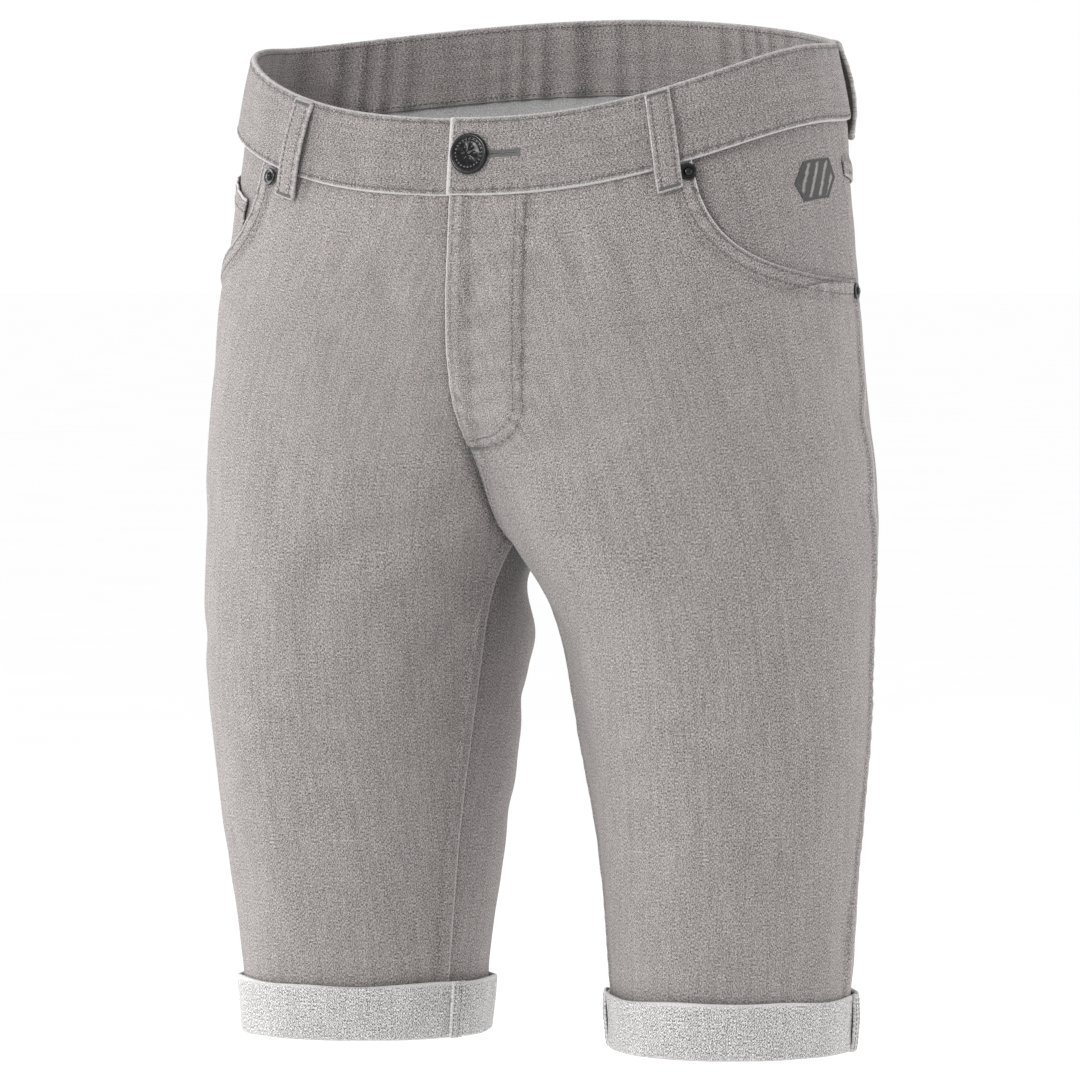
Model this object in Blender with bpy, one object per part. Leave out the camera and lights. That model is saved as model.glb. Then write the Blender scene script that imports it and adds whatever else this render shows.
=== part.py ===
"""Five-pocket denim shorts with a buttoned waistband and turned-up hems, as worn.

Metres, +Z up, the front faces -Y and +X is the wearer's left.  The origin is the middle
of the waist opening, level with the middle of the waistband at the sides.

The cloth follows one form.  Each half of the shorts is a leg tube that runs on up to the
waist and stops at the middle plane x = 0, so the rise seam is where tube and plane meet.
A place on the tube is a turn, in degrees, and a drop below the waist seam.  The turn is 0
at the front, 90 at the outer side, 180 at the back and 270 at the inner side, and -90 to 0
is the inner front.  Every cloth piece is cut from one lattice of flat triangles on that
tube, and what lies on or under a piece is the same triangles moved out or in.
"""
import math

import bmesh
import bpy
import numpy as np
from mathutils.geometry import delaunay_2d_cdt

CM = 0.01
MM = 0.001

# Driving dimensions
BAND_HEIGHT = 4.1 * CM
BAND_LEAN = 0.045                # share of its girth that the waistband loses to its top edge
WAIST_SEAM_Z = -BAND_HEIGHT / 2
BACK_RISE = 1.76 * CM            # how much higher the waist is at the centre back
FRONT_DIP = 3.66 * CM            # how much lower it is at the centre front
WAIST_DEPTH = 11.0 * CM          # half the waist, front to back
TILT_FADE = 20 * CM              # drop at which the slope of the waist has died out
HEM_DROP = 50.1 * CM
CUFF_DEPTH = 3.1 * CM
YOKE_AT_SIDE = 2.9 * CM
YOKE_AT_BACK = 6.5 * CM
POCKET_DROP = 8.5 * CM
POCKET_SQUARENESS = 2.6          # 2 would be an ellipse
POCKET_START = 44.4              # degrees, where the pocket opening leaves the waist seam
COIN_POCKET_TOP = 2.6 * CM
CLOTH = 1.2 * MM
BAND_PROUD = 0.8 * MM            # the waistband's outer face stands this far off the panels
BAND_WALL = 2.0 * MM
SEAM_GAP = 0.3 * MM
LAYER_GAP = 0.3 * MM
CUFF_STANDOFF = 0.9 * MM
CUFF_WALL = 2.4 * MM
BUTTON_RADIUS = 11.0 * MM
RIVET_RADIUS = 4.6 * MM
LOOP_WIDTH = 13.0 * MM
LOOP_BOW = 3.0 * MM
LOOP_CLEAR = 0.9 * MM
LOOP_TURN = {1: 39.4, -1: 34.4}    # degrees, the front belt loops of each half
RIVET_TURN = {1: 43.4, -1: 40.8}   # degrees, the rivets at the pockets' upper ends

# The form: sections of the wearer's left leg tube, in centimetres.  centre, outer and inner
# y of the middle, half widths outwards and inwards, half depths forwards and backwards,
# roundness of the four corners (2 is an ellipse, more is squarer), and the slant that
# carries the front outwards.
SECTIONS = (
    # drop, centre, y out, y in, outer, inner, front, back, corners: fo, bo, fi, bi, slant
    (0.0,   0.0, -0.4, -0.4, 17.3, 17.3, 11.0, 11.0, 2.40, 1.95, 2.40, 1.95, 0.00),
    (4.0,   2.4, -0.7, -0.8, 15.2, 16.8, 10.9, 11.9, 2.35, 1.85, 2.50, 2.10, 0.00),
    (8.0,   4.5, -1.1, -1.3, 13.4, 15.4, 10.6, 12.6, 2.40, 1.85, 2.50, 2.10, 0.00),
    (12.0,  6.4, -1.3, -1.9, 11.8, 13.2, 10.2, 13.0, 2.40, 1.85, 2.40, 2.10, 0.00),
    (16.0,  7.8, -1.3, -2.6, 10.7, 11.4,  9.7, 12.7, 2.40, 1.85, 2.20, 2.00, 0.00),
    (19.0,  8.8, -1.0, -3.2, 10.0, 10.5,  9.1, 12.0, 2.40, 1.95, 2.00, 1.95, 0.02),
    (22.0,  9.5, -0.7, -3.6,  9.5,  9.7,  8.6, 11.2, 2.30, 2.05, 1.75, 1.90, 0.04),
    (24.5,  9.9, -0.5, -2.8,  9.2,  8.7,  8.5, 10.4, 2.25, 2.10, 1.70, 2.10, 0.08),
    (28.0, 10.2, -0.4, -1.4,  8.9,  8.0,  8.6,  9.5, 2.15, 2.10, 1.75, 2.20, 0.12),
    (32.0, 10.5, -0.2, -0.6,  8.5,  7.8,  8.5,  8.6, 2.10, 2.10, 1.80, 2.15, 0.12),
    (38.0, 10.8,  0.0,  0.0,  7.7,  7.2,  7.7,  7.8, 2.05, 2.05, 1.90, 2.10, 0.12),
    (44.0, 11.0,  0.1,  0.1,  6.9,  6.7,  6.9,  7.0, 2.00, 2.00, 2.00, 2.00, 0.09),
    (51.0, 11.1,  0.1,  0.1,  6.4,  6.3,  6.4,  6.4, 2.00, 2.00, 2.00, 2.00, 0.05),
)
# Where the side seam runs round the tube: drop in centimetres, turn in degrees.
SIDE_SEAM = ((0.0, 95.0), (4.0, 100.0), (10.0, 104.0), (25.0, 104.0), (36.0, 100.0), (51.0, 96.0))

# The lattice that all the panels share
TURN_STEP = 12.0
TURNS = np.arange(-90.0, 294.1, TURN_STEP)
DROPS = CM * np.array([-0.3, 2.5, 5, 8, 11, 14, 17, 19.5, 21.5, 23, 25, 28, 32, 36, 40, 44,
                       HEM_DROP / CM - CUFF_DEPTH / CM, HEM_DROP / CM + 0.3])
FLAT_SCALE = 0.18 * CM           # metres to a degree of turn, in the flat plan of the tube


def spline(knots, values, at):
    """Natural cubic through the columns of values at the knots."""
    steps = np.diff(knots)
    count = len(knots)
    system = np.eye(count)
    right = np.zeros_like(values)
    for i in range(1, count - 1):
        system[i, i - 1:i + 2] = steps[i - 1], 2 * (steps[i - 1] + steps[i]), steps[i]
        slope_after = (values[i + 1] - values[i]) / steps[i]
        slope_before = (values[i] - values[i - 1]) / steps[i - 1]
        right[i] = 6 * (slope_after - slope_before)
    bend = np.linalg.solve(system, right)
    span = np.clip(np.searchsorted(knots, at) - 1, 0, count - 2)
    width = steps[span][..., None]
    to_next = (knots[span + 1] - at)[..., None]
    from_last = (at - knots[span])[..., None]
    curve = (bend[span] * to_next ** 3 + bend[span + 1] * from_last ** 3) / (6 * width)
    curve += (values[span] / width - bend[span] * width / 6) * to_next
    curve += (values[span + 1] / width - bend[span + 1] * width / 6) * from_last
    return curve


SECTION_TABLE = np.array(SECTIONS)
SECTION_SCALE = np.array([CM] * 7 + [1.0] * 5)
SEAM_TABLE = np.array(SIDE_SEAM)


def form(turn, drop):
    """Points on the outer face of the wearer's left half, from turns (deg) and drops (m)."""
    turn, drop = np.broadcast_arrays(np.asarray(turn, float), np.asarray(drop, float))
    section = spline(SECTION_TABLE[:, 0] * CM, SECTION_TABLE[:, 1:] * SECTION_SCALE, drop)
    centre, y_out, y_in, outer, inner, front, back = np.moveaxis(section[..., :7], -1, 0)
    front_out, back_out, front_in, back_in, slant = np.moveaxis(section[..., 7:], -1, 0)
    sine = np.sin(np.radians(turn))
    cosine = np.cos(np.radians(turn))
    outwards = (1 + sine) / 2
    forwards = (1 + cosine) / 2
    power = (outwards * (forwards * front_out + (1 - forwards) * back_out)
             + (1 - outwards) * (forwards * front_in + (1 - forwards) * back_in))
    reach = (np.abs(sine) ** power + np.abs(cosine) ** power) ** (-1 / power)
    depth = -np.where(cosine >= 0, front, back) * cosine * reach
    x = centre + np.where(sine >= 0, outer, inner) * sine * reach - slant * depth
    y = depth + outwards * y_out + (1 - outwards) * y_in
    return np.stack([x, y, WAIST_SEAM_Z - drop + waist_slope(y, drop)], -1)


def waist_slope(y, drop):
    """How far the waist line rises to the back and dips at the front, fading downwards."""
    fade = np.clip(drop / TILT_FADE, 0, 1)
    fade = 1 - fade * fade * (3 - 2 * fade)
    share = y / WAIST_DEPTH
    rise = BACK_RISE * (0.09 * share + 0.91 * np.clip(share, 0, None) ** 2)
    dip = FRONT_DIP * (0.04 * share - 0.96 * np.clip(-share, 0, None) ** 2.4)
    return fade * np.where(share > 0, rise, dip)


def normals(turn, drop):
    """Outward unit normals of the form."""
    across = form(turn + 0.5, drop) - form(turn - 0.5, drop)
    down = form(turn, drop + MM) - form(turn, drop - MM)
    out = np.cross(down, across)
    return out / np.linalg.norm(out, axis=-1, keepdims=True)


def side_seam(drop):
    """Turn of the side seam at a drop."""
    return spline(SEAM_TABLE[:, 0] * CM, SEAM_TABLE[:, 1:], np.asarray(drop, float))[..., 0]


def inseam(drop):
    """Turn of the inseam at a drop: 270 at the crotch, easing forward down the leg."""
    return 270 + 20 * (1 - np.exp(-np.maximum(drop - CROTCH_DROP, 0) / (9 * CM)))


def solve(function, low, high):
    """The place between low and high where the function changes sign."""
    start = function(low)
    for _ in range(60):
        middle = (low + high) / 2
        if (function(middle) > 0) == (start > 0):
            low = middle
        else:
            high = middle
    return (low + high) / 2


CROTCH_DROP = solve(lambda drop: form(270.0, drop)[0], 20 * CM, 26 * CM)
GRID_TURN, GRID_DROP = np.meshgrid(TURNS, DROPS, indexing="ij")
GRID_POINT = form(GRID_TURN, GRID_DROP)
GRID_NORMAL = normals(GRID_TURN, GRID_DROP)


def facet(turn, drop, grid=GRID_POINT):
    """Value of a lattice quantity on the flat triangle that holds this turn and drop."""
    i = min(max(int((turn - TURNS[0]) / TURN_STEP), 0), len(TURNS) - 2)
    j = min(max(int(np.searchsorted(DROPS, drop)) - 1, 0), len(DROPS) - 2)
    u = (turn - TURNS[i]) / TURN_STEP
    v = (drop - DROPS[j]) / (DROPS[j + 1] - DROPS[j])
    if u + v <= 1:
        return grid[i, j] + u * (grid[i + 1, j] - grid[i, j]) + v * (grid[i, j + 1] - grid[i, j])
    corner = grid[i + 1, j + 1]
    return corner + (1 - u) * (grid[i, j + 1] - corner) + (1 - v) * (grid[i + 1, j] - corner)


def lattice_edges():
    """Index pairs of the lattice's edges: across, down and along each cell's diagonal."""
    columns, rows = len(TURNS), len(DROPS)
    edges = []
    for i in range(columns):
        for j in range(rows):
            here = i * rows + j
            if i + 1 < columns:
                edges.append((here, here + rows))
            if j + 1 < rows:
                edges.append((here, here + 1))
            if i + 1 < columns and j > 0:
                edges.append((here, here + rows - 1))
    return edges


LATTICE_EDGES = lattice_edges()


def rise_seam(low_turn, high_turn, reach):
    """The points where the faceted tube is `reach` from the middle plane, by turn."""
    flat_points = GRID_POINT.reshape(-1, 3)
    turns = GRID_TURN.reshape(-1)
    drops = GRID_DROP.reshape(-1)
    found = []
    for a, b in LATTICE_EDGES:
        gap_a = flat_points[a, 0] - reach
        gap_b = flat_points[b, 0] - reach
        if gap_a * gap_b >= 0:
            continue
        share = gap_a / (gap_a - gap_b)
        turn = turns[a] + share * (turns[b] - turns[a])
        drop = drops[a] + share * (drops[b] - drops[a])
        if low_turn < turn < high_turn:
            found.append((turn, drop))
    return sorted(found)


def degrees_for(length, turn, drop):
    """Degrees of turn that cover a length on the form."""
    return length / np.linalg.norm(form(turn + 0.5, drop) - form(turn - 0.5, drop))


def cut(outline):
    """Triangles of the lattice inside an outline: their (turn, drop) points and faces."""
    nodes = [(t * FLAT_SCALE, d) for t, d in zip(GRID_TURN.reshape(-1), GRID_DROP.reshape(-1))]
    points = [(t * FLAT_SCALE, d) for t, d in outline]
    turning = sum(a[0] * b[1] - b[0] * a[1] for a, b in zip(points, points[1:] + points[:1]))
    if turning < 0:
        points.reverse()
    face = list(range(len(nodes), len(nodes) + len(points)))
    scale = 1 / CM
    plan = [(x * scale, y * scale) for x, y in nodes + points]
    result = delaunay_2d_cdt(plan, LATTICE_EDGES, [face], 0, 0.004)
    flat, faces, owners = result[0], result[2], result[5]
    inside = [f for f, owner in zip(faces, owners) if owner]
    used = sorted({index for f in inside for index in f})
    number = {index: n for n, index in enumerate(used)}
    places = [(flat[i][0] / scale / FLAT_SCALE, flat[i][1] / scale) for i in used]
    return places, [tuple(number[i] for i in f) for f in inside]


def solid(name, points, faces, material, side=1):
    """Object of a closed mesh, mirrored to the wearer's right when side is -1."""
    mesh = bpy.data.meshes.new(name)
    mesh.from_pydata([(side * x, y, z) for x, y, z in points], [], faces)
    shape = bmesh.new()
    shape.from_mesh(mesh)
    bmesh.ops.recalc_face_normals(shape, faces=shape.faces)
    shape.to_mesh(mesh)
    shape.free()
    mesh.materials.append(material)
    piece = bpy.data.objects.new(name, mesh)
    bpy.context.collection.objects.link(piece)
    return piece


def cloth_piece(name, outline, outer, wall, material, side=1):
    """Closed wall cut to an outline: its outer face is moved `outer` off the form."""
    places, faces = cut(outline)
    base = np.array([facet(t, d) for t, d in places])
    out = np.array([facet(t, d, GRID_NORMAL) for t, d in places])
    count = len(places)
    points = np.concatenate([base + out * outer, base + out * (outer - wall)])
    uses = {}
    for f in faces:
        for a, b in zip(f, f[1:] + f[:1]):
            uses[frozenset((a, b))] = uses.get(frozenset((a, b)), 0) + 1
    rim = [tuple(edge) for edge, times in uses.items() if times == 1]
    shell = list(faces) + [tuple(i + count for i in reversed(f)) for f in faces]
    for a, b in rim:
        shell += [(a, b, b + count), (a, b + count, a + count)]
    return solid(name, points.tolist(), shell, material, side)


def seam_points(turn_of, start, end, shift):
    """Outline points down (or up) a seam, moved by a length across it."""
    count = max(2, int(abs(end - start) / (2.5 * CM)) + 1)
    drops = np.linspace(start, end, count)
    return [(float(turn_of(d)) + float(degrees_for(shift, turn_of(d), d)), float(d)) for d in drops]


def pocket_edge(start_turn, depth, shift=0.0):
    """The front pocket's opening: a squarish quarter oval, waist seam to side seam."""
    end_turn = float(side_seam(depth)) + float(degrees_for(shift, side_seam(depth), depth))
    power = 2 / POCKET_SQUARENESS
    curve = []
    for angle in np.linspace(0, math.pi / 2, 12):
        along = 1 - max(math.cos(angle), 0.0) ** power
        curve.append((start_turn + (end_turn - start_turn) * along, depth * math.sin(angle) ** power))
    curve[0] = (curve[0][0], SEAM_GAP / 2)
    return curve


def rise_edge(front, top, bottom=None):
    """The rise seam from one drop to another, or to the crotch if no bottom is given."""
    half = SEAM_GAP / 2
    low_turn, high_turn = (-90.0, 12.0) if front else (168.0, 270.0)
    ends = []
    for drop in (top, bottom):
        if drop is None:
            turn = low_turn + degrees_for(half, low_turn, CROTCH_DROP) if front else \
                high_turn - degrees_for(half, high_turn, CROTCH_DROP)
            drop = solve(lambda d: facet(turn, d)[0] - half, 18 * CM, 26 * CM)
        else:
            turn = solve(lambda t: facet(t, drop)[0] - half, low_turn, high_turn)
        ends.append((float(turn), float(drop)))
    between = [p for p in rise_seam(low_turn, high_turn, half)
               if ends[0][1] + 0.2 * MM < p[1] < ends[1][1] - 0.2 * MM]
    between.sort(key=lambda p: p[1])
    return [ends[0]] + between + [ends[1]]


def yoke_line(shift):
    """The yoke seam from the side seam to the centre back."""
    start = float(side_seam(YOKE_AT_SIDE))
    end = solve(lambda t: facet(t, YOKE_AT_BACK)[0], 180, 230)
    turns = np.linspace(start, end, 8)
    return [(float(t), YOKE_AT_SIDE + (YOKE_AT_BACK - YOKE_AT_SIDE) * (t - start) / (end - start)
             + shift) for t in turns]


def front_panel(side, material):
    half = SEAM_GAP / 2
    hem = HEM_DROP - CLOTH - LAYER_GAP
    outline = rise_edge(True, half)
    crotch = outline[-1][1]
    outline += seam_points(lambda d: inseam(d) - 360, crotch + 2 * MM, hem, half)
    outline += seam_points(side_seam, hem, POCKET_DROP + 0.5 * MM, -half)
    outline += reversed(pocket_edge(POCKET_START, POCKET_DROP, -half)[:-1])
    return cloth_piece("front_" + SIDE_NAME[side], outline, 0.0, CLOTH, material, side)


def back_panel(side, material):
    half = SEAM_GAP / 2
    hem = HEM_DROP - CLOTH - LAYER_GAP
    seam = yoke_line(half)
    seam[0] = (seam[0][0] + float(degrees_for(half, seam[0][0], seam[0][1])), seam[0][1])
    rise = rise_edge(False, YOKE_AT_BACK + half)
    outline = seam[:-1] + rise
    outline += seam_points(inseam, rise[-1][1] + 2 * MM, hem, -half)
    outline += seam_points(side_seam, hem, seam[0][1] + CM, half)
    return cloth_piece("back_" + SIDE_NAME[side], outline, 0.0, CLOTH, material, side)


def yoke(side, material):
    half = SEAM_GAP / 2
    seam = yoke_line(-half)
    rise = rise_edge(False, half, YOKE_AT_BACK - half)
    start = float(side_seam(half)) + float(degrees_for(half, 95.0, half))
    outline = [(float(t), half) for t in np.linspace(start, rise[0][0], 8)[:-1]]
    outline += rise
    outline += reversed(seam[1:-1])
    outline.append((seam[0][0] + float(degrees_for(half, seam[0][0], seam[0][1])), seam[0][1]))
    return cloth_piece("yoke_" + SIDE_NAME[side], outline, 0.0, CLOTH, material, side)


def facing_depth(side):
    """How far the pocket facing lies under the form; deeper where the coin pocket is."""
    return CLOTH + LAYER_GAP if side > 0 else 2 * (CLOTH + LAYER_GAP)


def pocket_facing(side, material):
    half = SEAM_GAP / 2
    edge = pocket_edge(POCKET_START - 7, POCKET_DROP + 1.3 * CM, -half)
    outline = edge + seam_points(side_seam, POCKET_DROP, half, -half)
    return cloth_piece("pocket_facing_" + SIDE_NAME[side], outline, -facing_depth(side), CLOTH,
                       material, side)


def coin_pocket(side, material):
    top = COIN_POCKET_TOP
    outline = [(52, top), (71, top), (90, top), (90, 9.2 * CM), (70, 8.6 * CM), (52, 6.0 * CM)]
    return cloth_piece("coin_pocket", outline, LAYER_GAP - facing_depth(side) + CLOTH, CLOTH,
                       material, side)


def back_pocket(side, material):
    outline = [(130, 9.2 * CM), (157, 9.4 * CM), (184, 9.6 * CM), (182, 21.4 * CM),
               (157, 24.0 * CM), (132, 21.4 * CM)]
    return cloth_piece("back_pocket_" + SIDE_NAME[side], outline, CLOTH + LAYER_GAP, CLOTH,
                       material, side)


def pocket_badge(side, material):
    """Long hexagon on the wearer's left pocket facing."""
    middle_turn, middle_drop = 81.0, 3.0 * CM
    half_width, half_height = 1.95 * CM, 1.1 * CM
    outline = []
    for across, down in ((1, 0), (0.62, 1), (-0.62, 1), (-1, 0), (-0.62, -1), (0.62, -1)):
        turn = middle_turn + degrees_for(half_width * across, middle_turn, middle_drop)
        outline.append((float(turn), middle_drop + half_height * down))
    return cloth_piece("pocket_badge", outline, -facing_depth(side) + LAYER_GAP + 0.6 * MM,
                       0.6 * MM, material, side)


def ring_solid(name, sections, material, side=1, closed=True):
    """Solid swept through a list of cross-sections, each a list of points."""
    size = len(sections[0])
    points = [p for section in sections for p in section]
    faces = []
    for k in range(len(sections) if closed else len(sections) - 1):
        a = k * size
        b = ((k + 1) % len(sections)) * size
        for i in range(size):
            n = (i + 1) % size
            faces += [(a + i, a + n, b + n), (a + i, b + n, b + i)]
    if not closed:
        faces.append(tuple(range(size)))
        faces.append(tuple(range(len(points) - size, len(points)))[::-1])
    return solid(name, points, faces, material, side)


def cuff(side, material):
    """The hem turned up on the outside, with its fold under the panels' lower edge."""
    top, bottom = HEM_DROP - CUFF_DEPTH, HEM_DROP
    inner, outer = CUFF_STANDOFF, CUFF_STANDOFF + CUFF_WALL
    profile = ((inner, top), (outer, top), (outer, bottom), (-CLOTH, bottom),
               (-CLOTH, bottom - CLOTH), (inner, bottom - CLOTH))
    sections = []
    for turn in TURNS[:-3]:
        sections.append([(facet(turn, d) + facet(turn, d, GRID_NORMAL) * off).tolist()
                         for off, d in profile])
    return ring_solid("cuff_" + SIDE_NAME[side], sections, material, side)


def cuff_allowance(side, seam_name, middle_turn, material):
    """The seam's bound edge, which shows on the turned-up hem."""
    drop = HEM_DROP - CUFF_DEPTH / 2
    reach = float(degrees_for(4.5 * MM, middle_turn, drop))
    top, bottom = HEM_DROP - CUFF_DEPTH + 0.5 * MM, HEM_DROP - 0.5 * MM
    outline = [(middle_turn - reach, top), (middle_turn + reach, top),
               (middle_turn + reach, bottom), (middle_turn - reach, bottom)]
    name = "cuff_" + seam_name + "_" + SIDE_NAME[side]
    return cloth_piece(name, outline, CUFF_STANDOFF + CUFF_WALL + LAYER_GAP + CLOTH, CLOTH,
                       material, side)


def band_point(turn, rise, off):
    """Point on the waistband, from its turn round the body, its rise and how far out it is."""
    if turn > 360:
        base = facet(turn - 360, 0.0)
    elif turn > 180:
        base = facet(360 - turn, 0.0) * (-1, 1, 1)
    else:
        base = facet(turn, 0.0)
    lean = 1 - BAND_LEAN * rise / BAND_HEIGHT
    out = band_normal(turn)
    return np.array([base[0] * lean, base[1] * lean, base[2] + rise]) + out * off


def band_normal(turn):
    """Outward unit normal of the waistband at a turn round the body."""
    across = form(turn + 0.5, 0.0) - form(turn - 0.5, 0.0)
    out = np.cross((0.0, 0.0, -1.0), across)
    out /= np.linalg.norm(out)
    out[2] = BAND_LEAN * WAIST_DEPTH / BAND_HEIGHT
    return out / np.linalg.norm(out)


def under_band(turn, drop, off):
    """Point off the panels straight below the waistband's point at a turn round the body."""
    mirror = (-1, 1, 1) if turn > 180 else (1, 1, 1)
    turn = 360 - turn if turn > 180 else turn
    bearing = body_bearing(facet(turn, 0.0))
    place = solve(lambda t: body_bearing(form(t, drop)) - bearing, turn - 25, turn + 12)
    return (form(place, drop) + normals(place, drop) * off) * mirror


def body_bearing(point):
    """Angle of a point round the body's own axis, 0 at the front and 180 at the back."""
    return math.atan2(point[0], -point[1]) % (2 * math.pi)


def waistband(material):
    """One strip round the waist whose wearer's left end laps over its right end."""
    left_end, right_end = -0.9, 373.0
    under = -(BAND_WALL + 0.5 * MM)
    turns = [left_end] + list(np.arange(6.0, 343.0, 6.0)) + [346, 350, 354, 358, 362, 366, right_end]
    sections = []
    for turn in turns:
        ease = min(max((turn - 346) / 12, 0), 1)
        shift = BAND_PROUD + under * ease * ease * (3 - 2 * ease)
        bottom = SEAM_GAP / 2
        section = [band_point(turn, bottom, shift), band_point(turn, BAND_HEIGHT, shift),
                   band_point(turn, BAND_HEIGHT, shift - BAND_WALL),
                   band_point(turn, bottom, shift - BAND_WALL)]
        sections.append([p.tolist() for p in section])
    return ring_solid("waistband", sections, material, closed=False)


def belt_loop(name, turn, material):
    """Strip from the band's top edge to just under the waist seam, bowed off the band."""
    side = -1 if turn < 0 else 1
    turn = abs(turn)
    reach = float(degrees_for(LOOP_WIDTH / 2, turn, 0.0))
    length = BAND_HEIGHT + 1.1 * CM
    sections = []
    for share in np.linspace(0, 1, 8):
        rise = BAND_HEIGHT - 0.5 * MM - share * length
        lift = BAND_PROUD + LOOP_CLEAR + LOOP_BOW * math.sin(math.pi * share)
        section = []
        for edge, off in ((-1, lift), (1, lift), (1, lift + CLOTH), (-1, lift + CLOTH)):
            place = turn + edge * reach
            if rise > 0:
                section.append(band_point(place, rise, off))
            else:
                section.append(under_band(place, -rise, off))
        sections.append([p.tolist() for p in section])
    return ring_solid(name, sections, material, side, closed=False)


def turned(name, profile, place, out, steps, material, side=1):
    """Solid turned about the axis `out` through `place`; profile is radius, height."""
    out = np.array(out) / np.linalg.norm(out)
    across = np.cross((0.0, 0.0, 1.0), out)
    across /= np.linalg.norm(across)
    up = np.cross(out, across)
    points = [(place + out * profile[0][1]).tolist()]
    for radius, height in profile[1:-1]:
        for k in range(steps):
            angle = 2 * math.pi * k / steps
            points.append((place + out * height + radius * (across * math.cos(angle)
                                                            + up * math.sin(angle))).tolist())
    points.append((place + out * profile[-1][1]).tolist())
    rings = len(profile) - 2
    last = len(points) - 1
    faces = []
    for k in range(steps):
        n = (k + 1) % steps
        faces.append((0, 1 + n, 1 + k))
        for r in range(rings - 1):
            a, b = 1 + r * steps, 1 + (r + 1) * steps
            faces += [(a + k, a + n, b + n), (a + k, b + n, b + k)]
        faces.append((1 + (rings - 1) * steps + k, 1 + (rings - 1) * steps + n, last))
    return solid(name, points, faces, material, side)


def button(material):
    """Domed metal button on the lapped end of the waistband."""
    turn, rise = 3.4, 2.15 * CM
    base = BAND_PROUD + 0.6 * MM
    r = BUTTON_RADIUS
    profile = ((0, 0), (r * 0.93, 0), (r, 0.9 * MM), (r * 0.97, 2.0 * MM), (r * 0.86, 2.6 * MM),
               (r * 0.72, 2.3 * MM), (r * 0.4, 2.6 * MM), (0, 2.8 * MM))
    return turned("button", profile, band_point(turn, rise, base), band_normal(turn), 24, material)


def rivet(name, turn, drop, material, side):
    """Domed rivet at an end of a front pocket's opening."""
    r = RIVET_RADIUS
    profile = ((0, 0), (r, 0), (r, 0.7 * MM), (r * 0.8, 1.0 * MM), (r * 0.55, 1.1 * MM),
               (r * 0.4, 1.9 * MM), (0, 2.3 * MM))
    out = normals(turn, drop)
    return turned(name, profile, form(turn, drop) + out * 0.5 * MM, out, 14, material, side)


SIDE_NAME = {1: "left", -1: "right"}


def finish(name, colour, roughness, metallic=0.0):
    """Principled material with a plain colour."""
    material = bpy.data.materials.new(name)
    material.use_nodes = True
    shader = material.node_tree.nodes["Principled BSDF"]
    shader.inputs["Base Color"].default_value = (*colour, 1.0)
    shader.inputs["Roughness"].default_value = roughness
    shader.inputs["Metallic"].default_value = metallic
    return material


def build():
    for leftover in list(bpy.data.objects):
        bpy.data.objects.remove(leftover)
    denim = finish("denim", (0.36, 0.34, 0.33), 0.9)
    wrong_side = finish("denim_wrong_side", (0.55, 0.54, 0.53), 0.95)
    metal = finish("gunmetal", (0.05, 0.05, 0.055), 0.35, 1.0)
    badge = finish("badge_print", (0.12, 0.12, 0.12), 0.7)
    waistband(denim)
    for side in (1, -1):
        front_panel(side, denim)
        yoke(side, denim)
        back_panel(side, denim)
        back_pocket(side, denim)
        pocket_facing(side, denim)
        cuff(side, wrong_side)
        cuff_allowance(side, "inseam", float(inseam(HEM_DROP - CUFF_DEPTH / 2)) - 3, wrong_side)
        cuff_allowance(side, "sideseam", float(side_seam(HEM_DROP - CUFF_DEPTH / 2)) + 3, wrong_side)
        rivet("rivet_top_" + SIDE_NAME[side], RIVET_TURN[side], 0.6 * CM, metal, side)
        rivet("rivet_side_" + SIDE_NAME[side], float(side_seam(9 * CM)) - 3.2, 9.15 * CM, metal, side)
    coin_pocket(-1, denim)
    pocket_badge(1, badge)
    belt_loops = {"front_left": LOOP_TURN[1], "front_right": -LOOP_TURN[-1], "side_left": 116.0,
                  "side_right": -116.0, "back": 180.0}
    for name, turn in belt_loops.items():
        belt_loop("belt_loop_" + name, turn, denim)
    button(metal)


build()
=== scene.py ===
"""Looks of the denim shorts: cloth shells, seams, stitches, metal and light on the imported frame.

Metres, +Z up, the front faces -Y and +X is the wearer's left.  The cloth follows the form
that the CAD solids are cut from: a place on the wearer's left half is a turn in degrees
(0 front, 90 outer side, 180 back, 270 inner side) and a drop below the waist seam, and the
wearer's right half is its mirror image with creases of its own.
"""
import math

import bmesh
import bpy
import numpy as np
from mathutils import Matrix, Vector
from mathutils.bvhtree import BVHTree


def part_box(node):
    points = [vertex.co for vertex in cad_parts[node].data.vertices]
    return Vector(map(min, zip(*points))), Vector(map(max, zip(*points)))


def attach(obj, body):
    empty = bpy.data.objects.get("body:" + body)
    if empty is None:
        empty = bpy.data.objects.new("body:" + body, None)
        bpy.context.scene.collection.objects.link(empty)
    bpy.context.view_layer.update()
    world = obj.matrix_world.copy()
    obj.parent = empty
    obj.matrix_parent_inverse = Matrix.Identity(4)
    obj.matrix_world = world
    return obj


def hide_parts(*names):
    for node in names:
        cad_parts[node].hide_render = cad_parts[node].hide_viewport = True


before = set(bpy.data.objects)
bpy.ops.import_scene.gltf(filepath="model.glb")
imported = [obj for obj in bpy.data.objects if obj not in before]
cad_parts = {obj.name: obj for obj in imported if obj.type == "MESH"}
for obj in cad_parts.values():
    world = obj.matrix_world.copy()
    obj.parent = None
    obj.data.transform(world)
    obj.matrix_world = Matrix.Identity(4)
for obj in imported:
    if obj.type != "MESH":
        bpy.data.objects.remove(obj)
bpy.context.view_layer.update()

CM = 0.01
MM = 0.001
SIDE_NAME = {1: "left", -1: "right"}

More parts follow.
